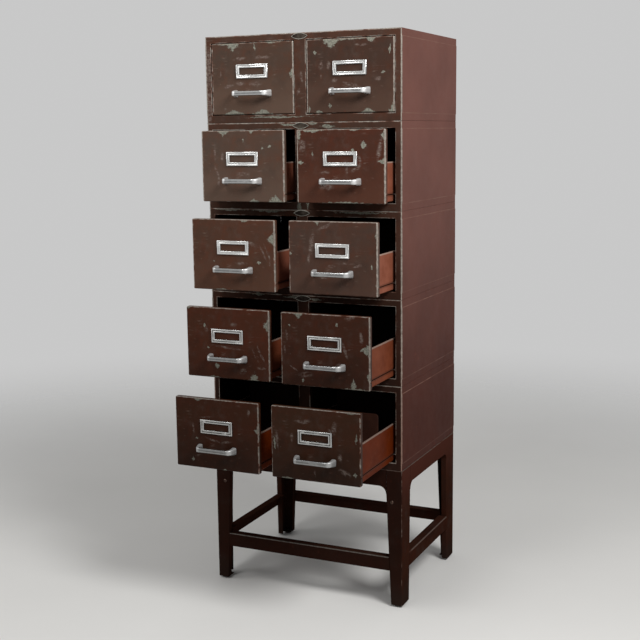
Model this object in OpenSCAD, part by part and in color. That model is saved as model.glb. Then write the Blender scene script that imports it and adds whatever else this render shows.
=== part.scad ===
// Stacking steel card-file cabinet: five two-drawer sections on a four-legged stand.
// Millimetres, +Z up, +Y to the back. The origin is on the floor, under the middle of
// the whole object with its drawers standing open as they are set below.

/* [Sections] */
// Width of the case over its side panels
case_w = 508; // [420:1:600]
// Depth of the case from face frame to back
case_d = 392; // [360:1:520]
// Height of one section, floor deck to top deck
section_h = 205.4; // [195:0.1:240]
// Thickness of the case sheet
sheet = 1.5; // [1:0.1:2.5]
// Width of the stile at each side of the face frame
stile_w = 16; // [14:0.5:24]
// Width of the stile between the two drawers
divider_w = 30; // [24:0.5:50]
// Height of the rail over a drawer
top_rail_h = 16; // [10:0.5:24]
// Height of the rail under a drawer
bottom_rail_h = 18.4; // [14:0.1:26]
// Depth of the lip folded in around each drawer opening
lip_d = 14; // [8:0.5:20]
// Plain band above and below the raised field of a side panel
band_h = 17; // [8:0.5:30]
// How far the raised field stands out of the side panel
field_step = 0.8; // [0.4:0.1:1.5]

/* [Drawers] */
// Gap between a drawer front and its opening, all round
front_gap = 1.5; // [0.8:0.1:3]
// Thickness of the folded drawer front
front_t = 12; // [8:0.5:16]
// Thickness of the drawer sheet
tray_sheet = 1.2; // [0.8:0.1:1.6]
// How far the tray's sides are set in from the edges of the front
tray_inset = 6.5; // [5:0.5:12]
// Height of the tray's sides
tray_h = 90.5; // [70:0.5:130]
// Gap between the lower edge of the front and the underside of the tray
tray_lift = 3; // [2:0.5:8]
// Length of the tray's sides behind the front
tray_len = 364; // [340:1:366]
// Distance from the drawer's face to its back wall
back_wall_y = 346; // [300:1:350]
// Height of the back wall inside the tray
back_wall_h = 130; // [90:1:150]
// Width of the hem along the top of the tray's sides
hem_w = 4; // [2:0.5:8]
// Height of that hem
hem_h = 3; // [2:0.5:6]
// Width of the stop tab on the back wall
stop_w = 30; // [15:1:60]
// How far the stop tab reaches above the drawer opening
stop_rise = 6; // [3:0.5:9]

/* [Runners] */
// Height of the runner's upper face over the floor deck
runner_z = 40; // [34:0.5:60]
// Height of the leg that fastens the runner
runner_leg_h = 20; // [10:0.5:28]
// Distance from the case's face to the front end of the runners
runner_start = 3; // [2.5:0.5:8]
// Depth of the groove in the tray's sides
groove_d = 4; // [2.5:0.5:6]
// Clearance between runner and tray
runner_gap = 0.4; // [0.3:0.1:0.8]

/* [Card follower] */
// Distance from the drawer's face to the follower plate
follower_y = 132; // [60:1:250]
// Height of the follower plate
follower_h = 131; // [90:1:140]
// Length of the follower's foot
follower_foot = 40; // [20:1:60]
// Thickness of the follower plate
follower_t = 2; // [1.2:0.1:3]
// Clearance between the follower and the tray
follower_gap = 0.8; // [0.5:0.1:2]
// Radius of the plate's upper corners
follower_r = 8; // [2:0.5:20]

/* [Pull] */
// Width of the pull over its feet
pull_w = 102; // [70:1:140]
// Distance from the drawer's face to the front of the grip
pull_out = 25; // [18:0.5:35]
// Height of the grip
grip_h = 13; // [8:0.5:18]
// Thickness of the grip
grip_t = 7; // [4:0.5:9]
// Height of the pull's feet
foot_h = 18; // [12:0.5:24]
// Thickness of the pull's legs
leg_t = 12; // [6:0.5:16]
// How far each foot spreads beyond the grip
foot_spread = 7; // [2:0.5:12]
// Radius of the lug that rivets each foot to the drawer front
lug_r = 2.2; // [1.5:0.1:2.8]
// Length of the lug
lug_l = 2.4; // [1.8:0.1:4]
// Distance from the top of the drawer front to the middle of the pull
pull_drop = 118.5; // [90:0.5:130]

/* [Label holder] */
// Width of the label holder
holder_w = 84; // [50:1:110]
// Height of the label holder
holder_h = 33; // [24:0.5:45]
// Thickness of the label holder
holder_t = 3.5; // [2.5:0.1:5]
// Width of the window for the label
window_w = 66; // [30:1:90]
// Height of the window
window_h = 16.5; // [10:0.5:30]
// Depth of the slot behind the window that takes the card
card_slot = 1.2; // [0.8:0.1:1.6]
// Distance from the top of the drawer front to the middle of the holder
holder_drop = 66.5; // [40:0.5:80]

/* [Badge] */
// Width of the bare oval badge
badge_w = 43; // [20:1:60]
// Height of the badge
badge_h = 15; // [8:0.5:16]
// Thickness of the badge
badge_t = 1.2; // [0.8:0.1:2]

/* [Stand] */
// Height of the stand
stand_h = 343.6; // [250:1:450]
// Thickness of the stand's sheet
stand_sheet = 2; // [1.5:0.1:3]
// Height of the apron under the case
apron_h = 42; // [25:1:70]
// Width of a leg at its top, seen from the front
leg_front_top = 41; // [30:1:70]
// Width of a leg at the floor, seen from the front
leg_front_low = 29; // [24:1:60]
// Width of a leg at its top, seen from the side
leg_side_top = 58; // [35:1:80]
// Width of a leg at the floor, seen from the side
leg_side_low = 50; // [28:1:70]
// Depth of the flange folded in along each leg's inner edges
leg_return = 15; // [8:0.5:18]
// Radius of the corner between apron and leg
corner_r = 18; // [4:0.5:25]
// Height of the stretchers' upper face over the floor
stretcher_z = 125; // [70:1:220]
// Height of a stretcher's web
stretcher_h = 34; // [20:0.5:50]
// Width of the flange on top of a stretcher and an apron
flange_w = 22; // [12:0.5:30]
// Height of the floor glides
glide_h = 5; // [3:0.5:10]
// Radius of the floor glides
glide_r = 11; // [6:0.5:12]
// How much smaller a glide's radius is where it meets the floor
glide_round = 2; // [1:0.5:4]
// Height over the floor of the screw in each leg
leg_screw_z = 264; // [180:1:280]

/* [Screws] */
// Radius of a screw's head
head_r = 4.5; // [3:0.1:5]
// Height of a screw's head
head_h = 2.4; // [1.5:0.1:4]
// Height of the straight rim under the dome of the head
head_rim = 0.5; // [0.2:0.1:1]
// Radius of a screw's shank
shank_r = 2.4; // [1.5:0.1:2.8]
// Length of a screw's shank
shank_l = 8; // [6:0.5:12]
// Radial clearance of a screw's hole
hole_gap = 0.1; // [0.1:0.05:0.4]
// Distance from a leg's lower inner edge to the screw in its web
screw_edge = 3; // [0:0.5:10]
// Distance from the case's side to a stacking screw
screw_inset = 11; // [8:0.5:13]
// Distance from the case's front and back to a stacking screw
screw_setback = 30; // [25:1:50]

/* [Drawer positions] */
// How far the left drawer of section 1 stands open
open_1_left = 0; // [0:1:300]
// How far the right drawer of section 1 stands open
open_1_right = 0; // [0:1:300]
// How far the left drawer of section 2 stands open
open_2_left = 58; // [0:1:300]
// How far the right drawer of section 2 stands open
open_2_right = 58; // [0:1:300]
// How far the left drawer of section 3 stands open
open_3_left = 113; // [0:1:300]
// How far the right drawer of section 3 stands open
open_3_right = 107; // [0:1:300]
// How far the left drawer of section 4 stands open
open_4_left = 150; // [0:1:300]
// How far the right drawer of section 4 stands open
open_4_right = 155; // [0:1:300]
// How far the left drawer of section 5 stands open
open_5_left = 212; // [0:1:300]
// How far the right drawer of section 5 stands open
open_5_right = 212; // [0:1:300]

/* [Hidden] */
$fn = 48;
sections = 5;

// how far a cutting body runs past the sheet that it cuts
cut = sheet;

opening_w = (case_w - 2 * stile_w - divider_w) / 2;
opening_h = section_h - top_rail_h - bottom_rail_h;
drawer_x = (divider_w + opening_w) / 2;

front_w = opening_w - 2 * front_gap;
front_h = opening_h - 2 * front_gap;
front_z = bottom_rail_h + front_gap;
front_top = front_z + front_h;

tray_w = front_w - 2 * tray_inset;
tray_z = front_z + tray_lift;
tray_top = tray_z + tray_h;
tray_end = front_t + tray_len;

// how far a runner's flange reaches past the edge of the opening, into the tray's groove
runner_reach = front_gap + tray_inset + groove_d - 2 * runner_gap;
runner_end = case_d - sheet;
groove_top = runner_z + runner_gap;
groove_low = runner_z - sheet - runner_gap;

follower_z = tray_z + tray_sheet + runner_gap;
follower_w = tray_w - 2 * tray_sheet - 2 * follower_gap;
follower_notch = groove_d + follower_gap;

// furthest reach of a pull in front of the face frame
reach = pull_out + max(
  open_1_left, open_1_right, open_2_left, open_2_right, open_3_left,
  open_3_right, open_4_left, open_4_right, open_5_left, open_5_right
);
case_y = (reach - case_d - head_h) / 2;

apron_z = stand_h - apron_h;
side = case_w / 2;
back_y = case_d;
inner_half = side - field_step - sheet;

function section_z(i) = stand_h + (sections - i) * section_h;

// width of a leg's webs at height z: straight at the apron, tapered below its corner
function leg_web(z, low, top) =
  low + (top - low) * min(1, (z - glide_h) / (apron_z - corner_r - glide_h));
function leg_front(z) = leg_web(z, leg_front_low, leg_front_top);
function leg_side(z) = leg_web(z, leg_side_low, leg_side_top);

// the whole case in the object's frame
module in_case() {
  translate([0, case_y, 0])
    children();
}

// section i, with its floor deck at z 0 and its face frame at y 0
module in_section(i) {
  in_case()
    translate([0, 0, section_z(i)])
      children();
}

// drawer of section i, hand -1 left or 1 right, standing open by its own distance
module in_drawer(i, hand, open) {
  in_section(i)
    translate([hand * drawer_x, -open, 0])
      children();
}

module mirrored_x() {
  children();
  mirror([1, 0, 0])
    children();
}

// the same piece at the front and, turned round, at the back of the stand
module front_and_back() {
  children();
  translate([0, case_d, 0])
    mirror([0, 1, 0])
      children();
}

// four places over the stand, for the screws that join the decks
module at_stacking_screws() {
  mirrored_x()
    front_and_back()
      translate([side - screw_inset, screw_setback, 0])
        children();
}

module screw_hole(length) {
  cylinder(r = shank_r + hole_gap, h = length, center = true);
}

// closed outline from its right half, which runs from the axis round to the axis
function both_sides(half) =
  concat(half, [for (k = [len(half) - 1 : -1 : 0]) [-half[k][0], half[k][1]]]);

// dome-headed screw, head up, its seat at z 0
module screw() {
  intersection() {
    cylinder(r = head_r, h = head_h);
    translate([0, 0, head_h - dome_r()])
      sphere(r = dome_r());
  }
  translate([0, 0, -shank_l])
    cylinder(r = shank_r, h = shank_l);
}

// radius of the sphere that rounds the head down to its rim
function dome_r() = (head_r ^ 2 + (head_h - head_rim) ^ 2) / (2 * (head_h - head_rim));

/* case */

// folded sheet body of a section: sides, decks and face frame with lips
module section_shell(i) {
  color("#5b443c")
    in_section(i)
      difference() {
        union() {
          difference() {
            union() {
              translate([-side + field_step, 0, 0])
                cube([case_w - 2 * field_step, case_d, section_h]);
              translate([-side, 0, band_h])
                cube([case_w, case_d, section_h - 2 * band_h]);
            }
            translate([-inner_half, sheet, sheet])
              cube([2 * inner_half, case_d, section_h - 2 * sheet]);
          }
          for (hand = [-1, 1])
            translate([hand * drawer_x - opening_w / 2 - sheet, 0, bottom_rail_h - sheet])
              cube([opening_w + 2 * sheet, lip_d, opening_h + 2 * sheet]);
        }
        for (hand = [-1, 1])
          translate([hand * drawer_x - opening_w / 2, -cut, bottom_rail_h])
            cube([opening_w, lip_d + 2 * cut, opening_h]);
        at_stacking_screws()
          screw_hole(4 * sheet);
        if (i > 1)
          translate([0, 0, section_h])
            at_stacking_screws()
              screw_hole(4 * sheet);
      }
}

// upright sheet between the two drawers of every section
module drawer_partitions() {
  color("#4a3833")
    for (i = [1 : sections])
      in_section(i)
        translate([-sheet / 2, sheet, sheet])
          cube([sheet, case_d - 2 * sheet, section_h - 2 * sheet]);
}

module back_panels() {
  color("#554039")
    for (i = [1 : sections])
      in_section(i)
        translate([-inner_half, case_d - sheet, sheet])
          cube([2 * inner_half, sheet, section_h - 2 * sheet]);
}

// angle that carries one side of a drawer: its leg stands on the sheet at x 0, and in
// front of the leg only the flange runs on, past the lip of the opening at x rim
module runner(rim) {
  leg_start = lip_d + sheet;
  translate([0, leg_start, runner_z - runner_leg_h])
    cube([sheet, runner_end - leg_start, runner_leg_h]);
  translate([0, leg_start, runner_z - sheet])
    cube([rim + runner_reach, runner_end - leg_start, sheet]);
  translate([rim, runner_start, runner_z - sheet])
    cube([runner_reach, runner_end - runner_start, sheet]);
}

module drawer_runners() {
  color("#8d8883")
    for (i = [1 : sections])
      in_section(i)
        mirrored_x() {
          translate([sheet / 2, 0, 0])
            runner((divider_w - sheet) / 2);
          translate([inner_half, 0, 0])
            mirror([1, 0, 0])
              runner(stile_w - field_step - sheet);
        }
}

module oval_badges() {
  color("#b9b6ad")
    for (i = [1 : sections])
      in_section(i)
        translate([0, 0, section_h - top_rail_h / 2])
          rotate([90, 0, 0])
            linear_extrude(badge_t)
              intersection_for (part = [-1, 1])
                translate([0, part * (badge_arc_r() - badge_h / 2)])
                  circle(r = badge_arc_r(), $fn = 96);
}

// radius of the two arcs that make the oval
function badge_arc_r() = (badge_w * badge_w + badge_h * badge_h) / (4 * badge_h);

/* drawers */

// right half of the tray's cross-section, from under its floor round to inside it
function tray_half() =
  let (
    out = tray_w / 2,
    t = tray_sheet
  )
  [
    [out, tray_z],
    [out, groove_low],
    [out - groove_d, groove_low],
    [out - groove_d, groove_top],
    [out, groove_top],
    [out, tray_top],
    [out - hem_w, tray_top],
    [out - hem_w, tray_top - hem_h],
    [out - t, tray_top - hem_h],
    [out - t, groove_top + t],
    [out - groove_d - t, groove_top + t],
    [out - groove_d - t, groove_low - t],
    [out - t, groove_low - t],
    [out - t, tray_z + t]
  ];

// right half of the back wall, set into the middle of the tray's sheet all round
function back_wall_half() =
  let (
    out = tray_w / 2 - tray_sheet / 2,
    neck = tray_w / 2 - hem_w / 2
  )
  [
    [out, tray_z],
    [out, groove_low - tray_sheet / 2],
    [out - groove_d, groove_low - tray_sheet / 2],
    [out - groove_d, groove_top + tray_sheet / 2],
    [out, groove_top + tray_sheet / 2],
    [out, tray_top - hem_h / 2],
    [neck, tray_top - hem_h / 2],
    [neck, tray_z + back_wall_h]
  ];

// notches that let the runners pass through the front of a closed drawer
module runner_notches() {
  mirrored_x()
    translate([tray_w / 2 - groove_d, runner_start - 2 * runner_gap, groove_low])
      cube([tray_inset + groove_d + cut, front_t, groove_top - groove_low]);
}

// tray with grooved and hemmed sides, inner front, back wall and stop tab
module tray(i, hand, open) {
  color("#8a4a34")
    in_drawer(i, hand, open) {
      translate([0, tray_end, 0])
        rotate([90, 0, 0])
          linear_extrude(tray_len + tray_sheet)
            polygon(both_sides(tray_half()));
      difference() {
        translate([-front_w / 2 + tray_sheet, front_t - tray_sheet, front_z + tray_sheet])
          cube([front_w - 2 * tray_sheet, tray_sheet, front_h - 2 * tray_sheet]);
        runner_notches();
      }
      translate([0, back_wall_y, 0])
        rotate([90, 0, 0])
          linear_extrude(tray_sheet)
            polygon(both_sides(back_wall_half()));
      translate([-stop_w / 2, back_wall_y - tray_sheet, tray_z])
        cube([stop_w, tray_sheet, section_h - top_rail_h + stop_rise - tray_z]);
    }
}

// folded front pan, open at its back, with holes for the pull's lugs
module front(i, hand, open) {
  color("#513a33")
    in_drawer(i, hand, open)
      difference() {
        translate([-front_w / 2, 0, front_z])
          cube([front_w, front_t, front_h]);
        translate([-front_w / 2 + tray_sheet, tray_sheet, front_z + tray_sheet])
          cube([front_w - 2 * tray_sheet, front_t, front_h - 2 * tray_sheet]);
        runner_notches();
        at_pull_lugs()
          cylinder(r = lug_r + hole_gap, h = 4 * tray_sheet, center = true);
      }
}

// the middle of each foot of the pull, z out of the drawer's face
module at_pull_lugs() {
  mirrored_x()
    translate([(pull_w - leg_t) / 2, 0, front_top - pull_drop])
      rotate([90, 0, 0])
        children();
}

// cast pull: its plan and its side profile cut from each other, and a lug on each foot
module pull(i, hand, open) {
  grip_w = pull_w - 2 * foot_spread;
  color("#d8d8d6")
    in_drawer(i, hand, open) {
      translate([0, 0, front_top - pull_drop])
        intersection() {
          linear_extrude(foot_h, center = true)
            polygon(both_sides([
              [grip_w / 2, -pull_out],
              [pull_w / 2, 0],
              [pull_w / 2 - leg_t, 0],
              [grip_w / 2 - leg_t, grip_t - pull_out]
            ]));
          rotate([90, 0, -90])
            linear_extrude(pull_w, center = true)
              polygon([
                [pull_out, -grip_h / 2],
                [pull_out, grip_h / 2],
                [pull_out - grip_t, grip_h / 2],
                [0, foot_h / 2],
                [0, -foot_h / 2],
                [pull_out - grip_t, -grip_h / 2]
              ]);
        }
      at_pull_lugs()
        translate([0, 0, -lug_l])
          cylinder(r = lug_r, h = lug_l);
    }
}

// framed window with a slot behind it that is open at the top for the card
module label_holder(i, hand, open) {
  slot_w = (holder_w + window_w) / 2;
  slot_h = (holder_h + window_h) / 2;
  color("#dcdcd8")
    in_drawer(i, hand, open)
      translate([0, 0, front_top - holder_drop])
        difference() {
          translate([-holder_w / 2, -holder_t, -holder_h / 2])
            cube([holder_w, holder_t, holder_h]);
          translate([-window_w / 2, -holder_t - cut, -window_h / 2])
            cube([window_w, holder_t + 2 * cut, window_h]);
          translate([-slot_w / 2, -card_slot, -slot_h / 2])
            cube([slot_w, card_slot + cut, (slot_h + holder_h) / 2 + cut]);
        }
}

// plate that holds the cards up, notched over the grooves, with a foot behind it
module follower(i, hand, open) {
  half = follower_w / 2;
  notch_low = groove_low - tray_sheet - follower_gap;
  notch_top = groove_top + tray_sheet + follower_gap;
  low = follower_z;
  top = follower_z + follower_h;
  hem_low = tray_top - hem_h - follower_gap;
  neck = tray_w / 2 - hem_w - follower_gap;
  color("#4c3a33")
    in_drawer(i, hand, open) {
      translate([0, follower_y + follower_t, 0])
        rotate([90, 0, 0])
          linear_extrude(follower_t) {
            polygon(both_sides([
              [half, low],
              [half, notch_low],
              [half - follower_notch, notch_low],
              [half - follower_notch, notch_top],
              [half, notch_top],
              [half, hem_low],
              [neck, hem_low],
              [neck, top - follower_r],
              [neck - follower_r, top]
            ]));
            mirrored_x()
              translate([neck - follower_r, top - follower_r])
                circle(r = follower_r);
          }
      translate([-half, follower_y, low])
        cube([follower_w, follower_foot, follower_t]);
    }
}

/* stand */

// front left leg: two tapered webs with folded edges, a corner plate and a foot plate
module leg_body() {
  bend_z = apron_z - corner_r;
  difference() {
    union() {
      // front web and the flange along its inner edge
      tapered_web(leg_front_low, leg_front_top, bend_z, stand_sheet, 0);
      tapered_web(leg_front_low, leg_front_top, bend_z, leg_return, stand_sheet);
      // side web and the flange along its inner edge
      mirror([1, -1, 0]) {
        tapered_web(leg_side_low, leg_side_top, bend_z, stand_sheet, 0);
        tapered_web(leg_side_low, leg_side_top, bend_z, leg_return, stand_sheet);
      }
      translate([0, 0, stand_h - stand_sheet])
        cube([leg_front_top, leg_side_top, stand_sheet]);
      translate([0, 0, glide_h])
        cube([leg_front_low, leg_front_low, stand_sheet]);
    }
    translate([leg_front_low - screw_edge, 0, leg_screw_z])
      rotate([90, 0, 0])
        screw_hole(4 * stand_sheet);
    translate([screw_inset, screw_setback, stand_h])
      screw_hole(4 * stand_sheet);
    translate([glide_at, glide_at, glide_h])
      screw_hole(4 * stand_sheet);
  }
}
// distance from a leg's corner to the middle of its glide
glide_at = leg_front_low / 2;

// web in the XZ plane, or with strip set only a strip of it along its inner edge
module tapered_web(low, top, bend_z, depth, strip) {
  start_low = strip == 0 ? 0 : low - strip;
  start_top = strip == 0 ? 0 : top - strip;
  translate([0, depth, 0])
    rotate([90, 0, 0])
      linear_extrude(depth)
        polygon([
          [start_low, glide_h],
          [low, glide_h],
          [top, bend_z],
          [top, stand_h],
          [start_top, stand_h],
          [start_top, bend_z]
        ]);
}

module leg(right, rear) {
  color("#58413a")
    in_case()
      translate([0, rear ? back_y : 0, 0])
        mirror([0, rear ? 1 : 0, 0])
          mirror([right ? 1 : 0, 0, 0])
            translate([-side, 0, 0])
              leg_body();
}

// apron in the XZ plane between legs that leave it this span
module apron(span) {
  translate([-span / 2, 0, apron_z])
    cube([span, stand_sheet, apron_h]);
  translate([-span / 2, 0, stand_h - stand_sheet])
    cube([span, flange_w, stand_sheet]);
  mirrored_x()
    difference() {
      translate([span / 2 - corner_r, 0, apron_z - corner_r])
        cube([corner_r, stand_sheet, corner_r]);
      translate([span / 2 - corner_r, 0, apron_z - corner_r])
        rotate([90, 0, 0])
          cylinder(r = corner_r, h = 4 * stand_sheet, center = true);
    }
}

// stretcher of angle section whose ends follow the legs' tapered edges
module stretcher(gap_low, gap_top) {
  translate([0, stand_sheet, 0])
    rotate([90, 0, 0])
      linear_extrude(stand_sheet)
        polygon(both_sides([
          [gap_low / 2, stretcher_z - stretcher_h],
          [gap_top / 2, stretcher_z]
        ]));
  translate([-gap_top / 2, 0, stretcher_z - stand_sheet])
    cube([gap_top, flange_w, stand_sheet]);
}

// the same piece on both sides of the stand, built in the XZ plane
module on_both_sides() {
  mirrored_x()
    translate([-side, case_d / 2, 0])
      rotate([0, 0, -90])
        children();
}

module front_rear_aprons() {
  color("#58413a")
    in_case()
      front_and_back()
        apron(case_w - 2 * leg_front_top);
}

module side_aprons() {
  color("#6a4c42")
    in_case()
      on_both_sides()
        apron(case_d - 2 * leg_side_top);
}

module front_rear_stretchers() {
  color("#58413a")
    in_case()
      front_and_back()
        stretcher(
          case_w - 2 * leg_front(stretcher_z - stretcher_h),
          case_w - 2 * leg_front(stretcher_z)
        );
}

module side_stretchers() {
  color("#6a4c42")
    in_case()
      on_both_sides()
        stretcher(
          case_d - 2 * leg_side(stretcher_z - stretcher_h),
          case_d - 2 * leg_side(stretcher_z)
        );
}

// domed glide on a pin through each foot plate
module floor_glides() {
  color("#2e2b29")
    in_case()
      mirrored_x()
        front_and_back()
          translate([-side + glide_at, glide_at, 0]) {
            cylinder(r1 = glide_r - glide_round, r2 = glide_r, h = glide_h / 2);
            translate([0, 0, glide_h / 2])
              cylinder(r = glide_r, h = glide_h / 2);
            cylinder(r = shank_r, h = glide_h + 2 * stand_sheet);
          }
}

// screws that join the decks to each other and to the stand, and one in each leg
module assembly_screws() {
  color("#b3b0aa")
    in_case() {
      for (i = [1 : sections])
        translate([0, 0, section_z(i) + sheet])
          at_stacking_screws()
            screw();
      mirrored_x()
        front_and_back()
          translate([-side + leg_front_low - screw_edge, 0, leg_screw_z])
            rotate([90, 0, 0])
              screw();
    }
}

section_shell(1);  // section_1_shell
section_shell(2);  // section_2_shell
section_shell(3);  // section_3_shell
section_shell(4);  // section_4_shell
section_shell(5);  // section_5_shell
drawer_partitions();
back_panels();
drawer_runners();
oval_badges();
leg(false, false);  // leg_front_left
leg(true, false);  // leg_front_right
leg(false, true);  // leg_rear_left
leg(true, true);  // leg_rear_right
front_rear_aprons();
side_aprons();
front_rear_stretchers();
side_stretchers();
floor_glides();
assembly_screws();
tray(1, -1, open_1_left);  // drawer_1_left_tray
front(1, -1, open_1_left);  // drawer_1_left_front
pull(1, -1, open_1_left);  // drawer_1_left_pull
label_holder(1, -1, open_1_left);  // drawer_1_left_label_holder
tray(1, 1, open_1_right);  // drawer_1_right_tray
front(1, 1, open_1_right);  // drawer_1_right_front
pull(1, 1, open_1_right);  // drawer_1_right_pull
label_holder(1, 1, open_1_right);  // drawer_1_right_label_holder
tray(2, -1, open_2_left);  // drawer_2_left_tray
front(2, -1, open_2_left);  // drawer_2_left_front
pull(2, -1, open_2_left);  // drawer_2_left_pull
label_holder(2, -1, open_2_left);  // drawer_2_left_label_holder
tray(2, 1, open_2_right);  // drawer_2_right_tray
front(2, 1, open_2_right);  // drawer_2_right_front
pull(2, 1, open_2_right);  // drawer_2_right_pull
label_holder(2, 1, open_2_right);  // drawer_2_right_label_holder
tray(3, -1, open_3_left);  // drawer_3_left_tray
front(3, -1, open_3_left);  // drawer_3_left_front
pull(3, -1, open_3_left);  // drawer_3_left_pull
label_holder(3, -1, open_3_left);  // drawer_3_left_label_holder
tray(3, 1, open_3_right);  // drawer_3_right_tray
front(3, 1, open_3_right);  // drawer_3_right_front
pull(3, 1, open_3_right);  // drawer_3_right_pull
label_holder(3, 1, open_3_right);  // drawer_3_right_label_holder
tray(4, -1, open_4_left);  // drawer_4_left_tray
front(4, -1, open_4_left);  // drawer_4_left_front
pull(4, -1, open_4_left);  // drawer_4_left_pull
label_holder(4, -1, open_4_left);  // drawer_4_left_label_holder
tray(4, 1, open_4_right);  // drawer_4_right_tray
front(4, 1, open_4_right);  // drawer_4_right_front
pull(4, 1, open_4_right);  // drawer_4_right_pull
label_holder(4, 1, open_4_right);  // drawer_4_right_label_holder
tray(5, -1, open_5_left);  // drawer_5_left_tray
front(5, -1, open_5_left);  // drawer_5_left_front
pull(5, -1, open_5_left);  // drawer_5_left_pull
label_holder(5, -1, open_5_left);  // drawer_5_left_label_holder
tray(5, 1, open_5_right);  // drawer_5_right_tray
front(5, 1, open_5_right);  // drawer_5_right_front
pull(5, 1, open_5_right);  // drawer_5_right_pull
label_holder(5, 1, open_5_right);  // drawer_5_right_label_holder
follower(5, 1, open_5_right);  // drawer_5_right_follower
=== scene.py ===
import math
from functools import reduce

import bmesh
import bpy
from mathutils import Matrix, Vector


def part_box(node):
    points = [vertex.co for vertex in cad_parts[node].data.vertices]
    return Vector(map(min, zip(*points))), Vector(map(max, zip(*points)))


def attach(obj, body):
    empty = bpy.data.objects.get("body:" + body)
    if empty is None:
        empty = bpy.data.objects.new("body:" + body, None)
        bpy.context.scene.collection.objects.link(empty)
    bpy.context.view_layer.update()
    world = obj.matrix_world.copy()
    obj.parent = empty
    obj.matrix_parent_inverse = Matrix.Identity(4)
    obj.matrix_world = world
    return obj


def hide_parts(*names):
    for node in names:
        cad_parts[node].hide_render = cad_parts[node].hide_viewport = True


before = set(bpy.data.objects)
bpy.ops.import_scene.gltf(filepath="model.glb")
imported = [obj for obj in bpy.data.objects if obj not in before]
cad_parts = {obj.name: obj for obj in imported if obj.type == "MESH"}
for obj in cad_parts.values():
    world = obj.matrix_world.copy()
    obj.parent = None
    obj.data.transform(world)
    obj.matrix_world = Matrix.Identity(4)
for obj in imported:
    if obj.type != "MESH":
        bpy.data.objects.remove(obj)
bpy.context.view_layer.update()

mm = 0.001
slack = 0.01
print("frame loaded:", len(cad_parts), "nodes")


def inMillimetres(node):
    low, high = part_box(node)
    return low / mm, high / mm


shellLow, shellHigh = inMillimetres("section_1_shell")
faceY, backY = shellLow.y, shellHigh.y
middleY, halfDepth = (faceY + backY) / 2, (backY - faceY) / 2
halfWidth = shellHigh.x
sectionHeight = shellHigh.z - shellLow.z
sectionFloor = {row: inMillimetres(f"section_{row}_shell")[0].z for row in range(1, 6)}
standHeight = sectionFloor[5]
hands = {"left": -1, "right": 1}
corners = [(x, y, end, hand) for hand, x in hands.items() for end, y in (("front", -1), ("rear", 1))]


# a value in a shader tree; sums and products of it are Math nodes
class Value:
    def __init__(self, socket):
        self.socket = socket

    def __add__(self, other):
        return calc("ADD", self, other)

    def __sub__(self, other):
        return calc("SUBTRACT", self, other)

    def __rsub__(self, other):
        return calc("SUBTRACT", other, self)

    def __mul__(self, other):
        return calc("MULTIPLY", self, other)

    def __truediv__(self, other):
        return calc("DIVIDE", self, other)

    def __mod__(self, other):
        return calc("MODULO", self, other)

    def __neg__(self):
        return calc("MULTIPLY", self, -1.0)

    def __abs__(self):
        return calc("ABSOLUTE", self)

    __radd__ = __add__
    __rmul__ = __mul__


def wire(value, socket):
    if isinstance(value, Value):
        socket.id_data.links.new(value.socket, socket)
    elif value is not None:
        socket.default_value = value


# a new node in the tree of the values that feed it
def fed(kind, inputs, output=0, **settings):
    tree = next(value.socket.id_data for value in inputs.values() if isinstance(value, Value))
    node = tree.nodes.new(kind)
    for key, setting in settings.items():
        setattr(node, key, setting)
    for key, value in inputs.items():
        wire(value, node.inputs[key])
    return Value(node.outputs[output])


def calc(operation, *values):
    return fed("ShaderNodeMath", dict(enumerate(values)), operation=operation)


def most(*values):
    return reduce(lambda a, b: calc("MAXIMUM", a, b), values)


def least(*values):
    return reduce(lambda a, b: calc("MINIMUM", a, b), values)


def vectorCalc(operation, a, b=None, scale=None):
    output = "Value" if operation in ("LENGTH", "DOT_PRODUCT") else "Vector"
    return fed("ShaderNodeVectorMath", {0: a, 1: b, 3: scale}, output, operation=operation)


# 0 at low, 1 at high; low may be the larger of the two
def ramp(value, low, high):
    return fed("ShaderNodeMapRange", {"Value": value, "From Min": low, "From Max": high},
               interpolation_type="SMOOTHSTEP")


def blend(factor, a, b):
    return fed("ShaderNodeMix", {0: factor, 6: a, 7: b}, 2, data_type="RGBA")


def between(factor, a, b):
    return fed("ShaderNodeMix", {0: factor, 2: a, 3: b})


# size is the width of one blotch in millimetres
def blotches(place, size, detail=2.0, roughness=0.5, output="Fac"):
    return fed("ShaderNodeTexNoise", {"Vector": place, "Scale": 1 / size, "Detail": detail,
                                      "Roughness": roughness}, output)


# blotches as a mask: their size, detail and roughness, noise where they start and are full, strength
def patches(place, size, detail, roughness, start, full, strength=None):
    mask = ramp(blotches(place, size, detail, roughness), start, full)
    return mask if strength is None else mask * strength


# strays to both sides of zero, by less than half of reach
def wander(place, size, reach, detail=3, roughness=0.6):
    return (blotches(place, size, detail, roughness) - 0.5) * reach


def apart(vector):
    return [Value(output) for output in fed("ShaderNodeSeparateXYZ", {0: vector}).socket.node.outputs]


def moved(vector, location=(0, 0, 0), turn=(0, 0, 0), scale=(1, 1, 1), kind="POINT"):
    return fed("ShaderNodeMapping", {"Vector": vector, "Location": location, "Rotation": turn,
                                     "Scale": scale}, vector_type=kind)


def ragged(place, amount, size):
    drift = vectorCalc("SUBTRACT", blotches(place, size, 3, 0.6, "Color"), (0.5, 0.5, 0.5))
    return vectorCalc("ADD", place, vectorCalc("SCALE", drift, scale=amount))


# share of a rubbed edge that shows metal: broken up along its length
def brokenAlong(place, share, size=26):
    return patches(place, size, 4, 0.58, 0.66 - 0.5 * share, 0.88 - 0.5 * share)


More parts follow.
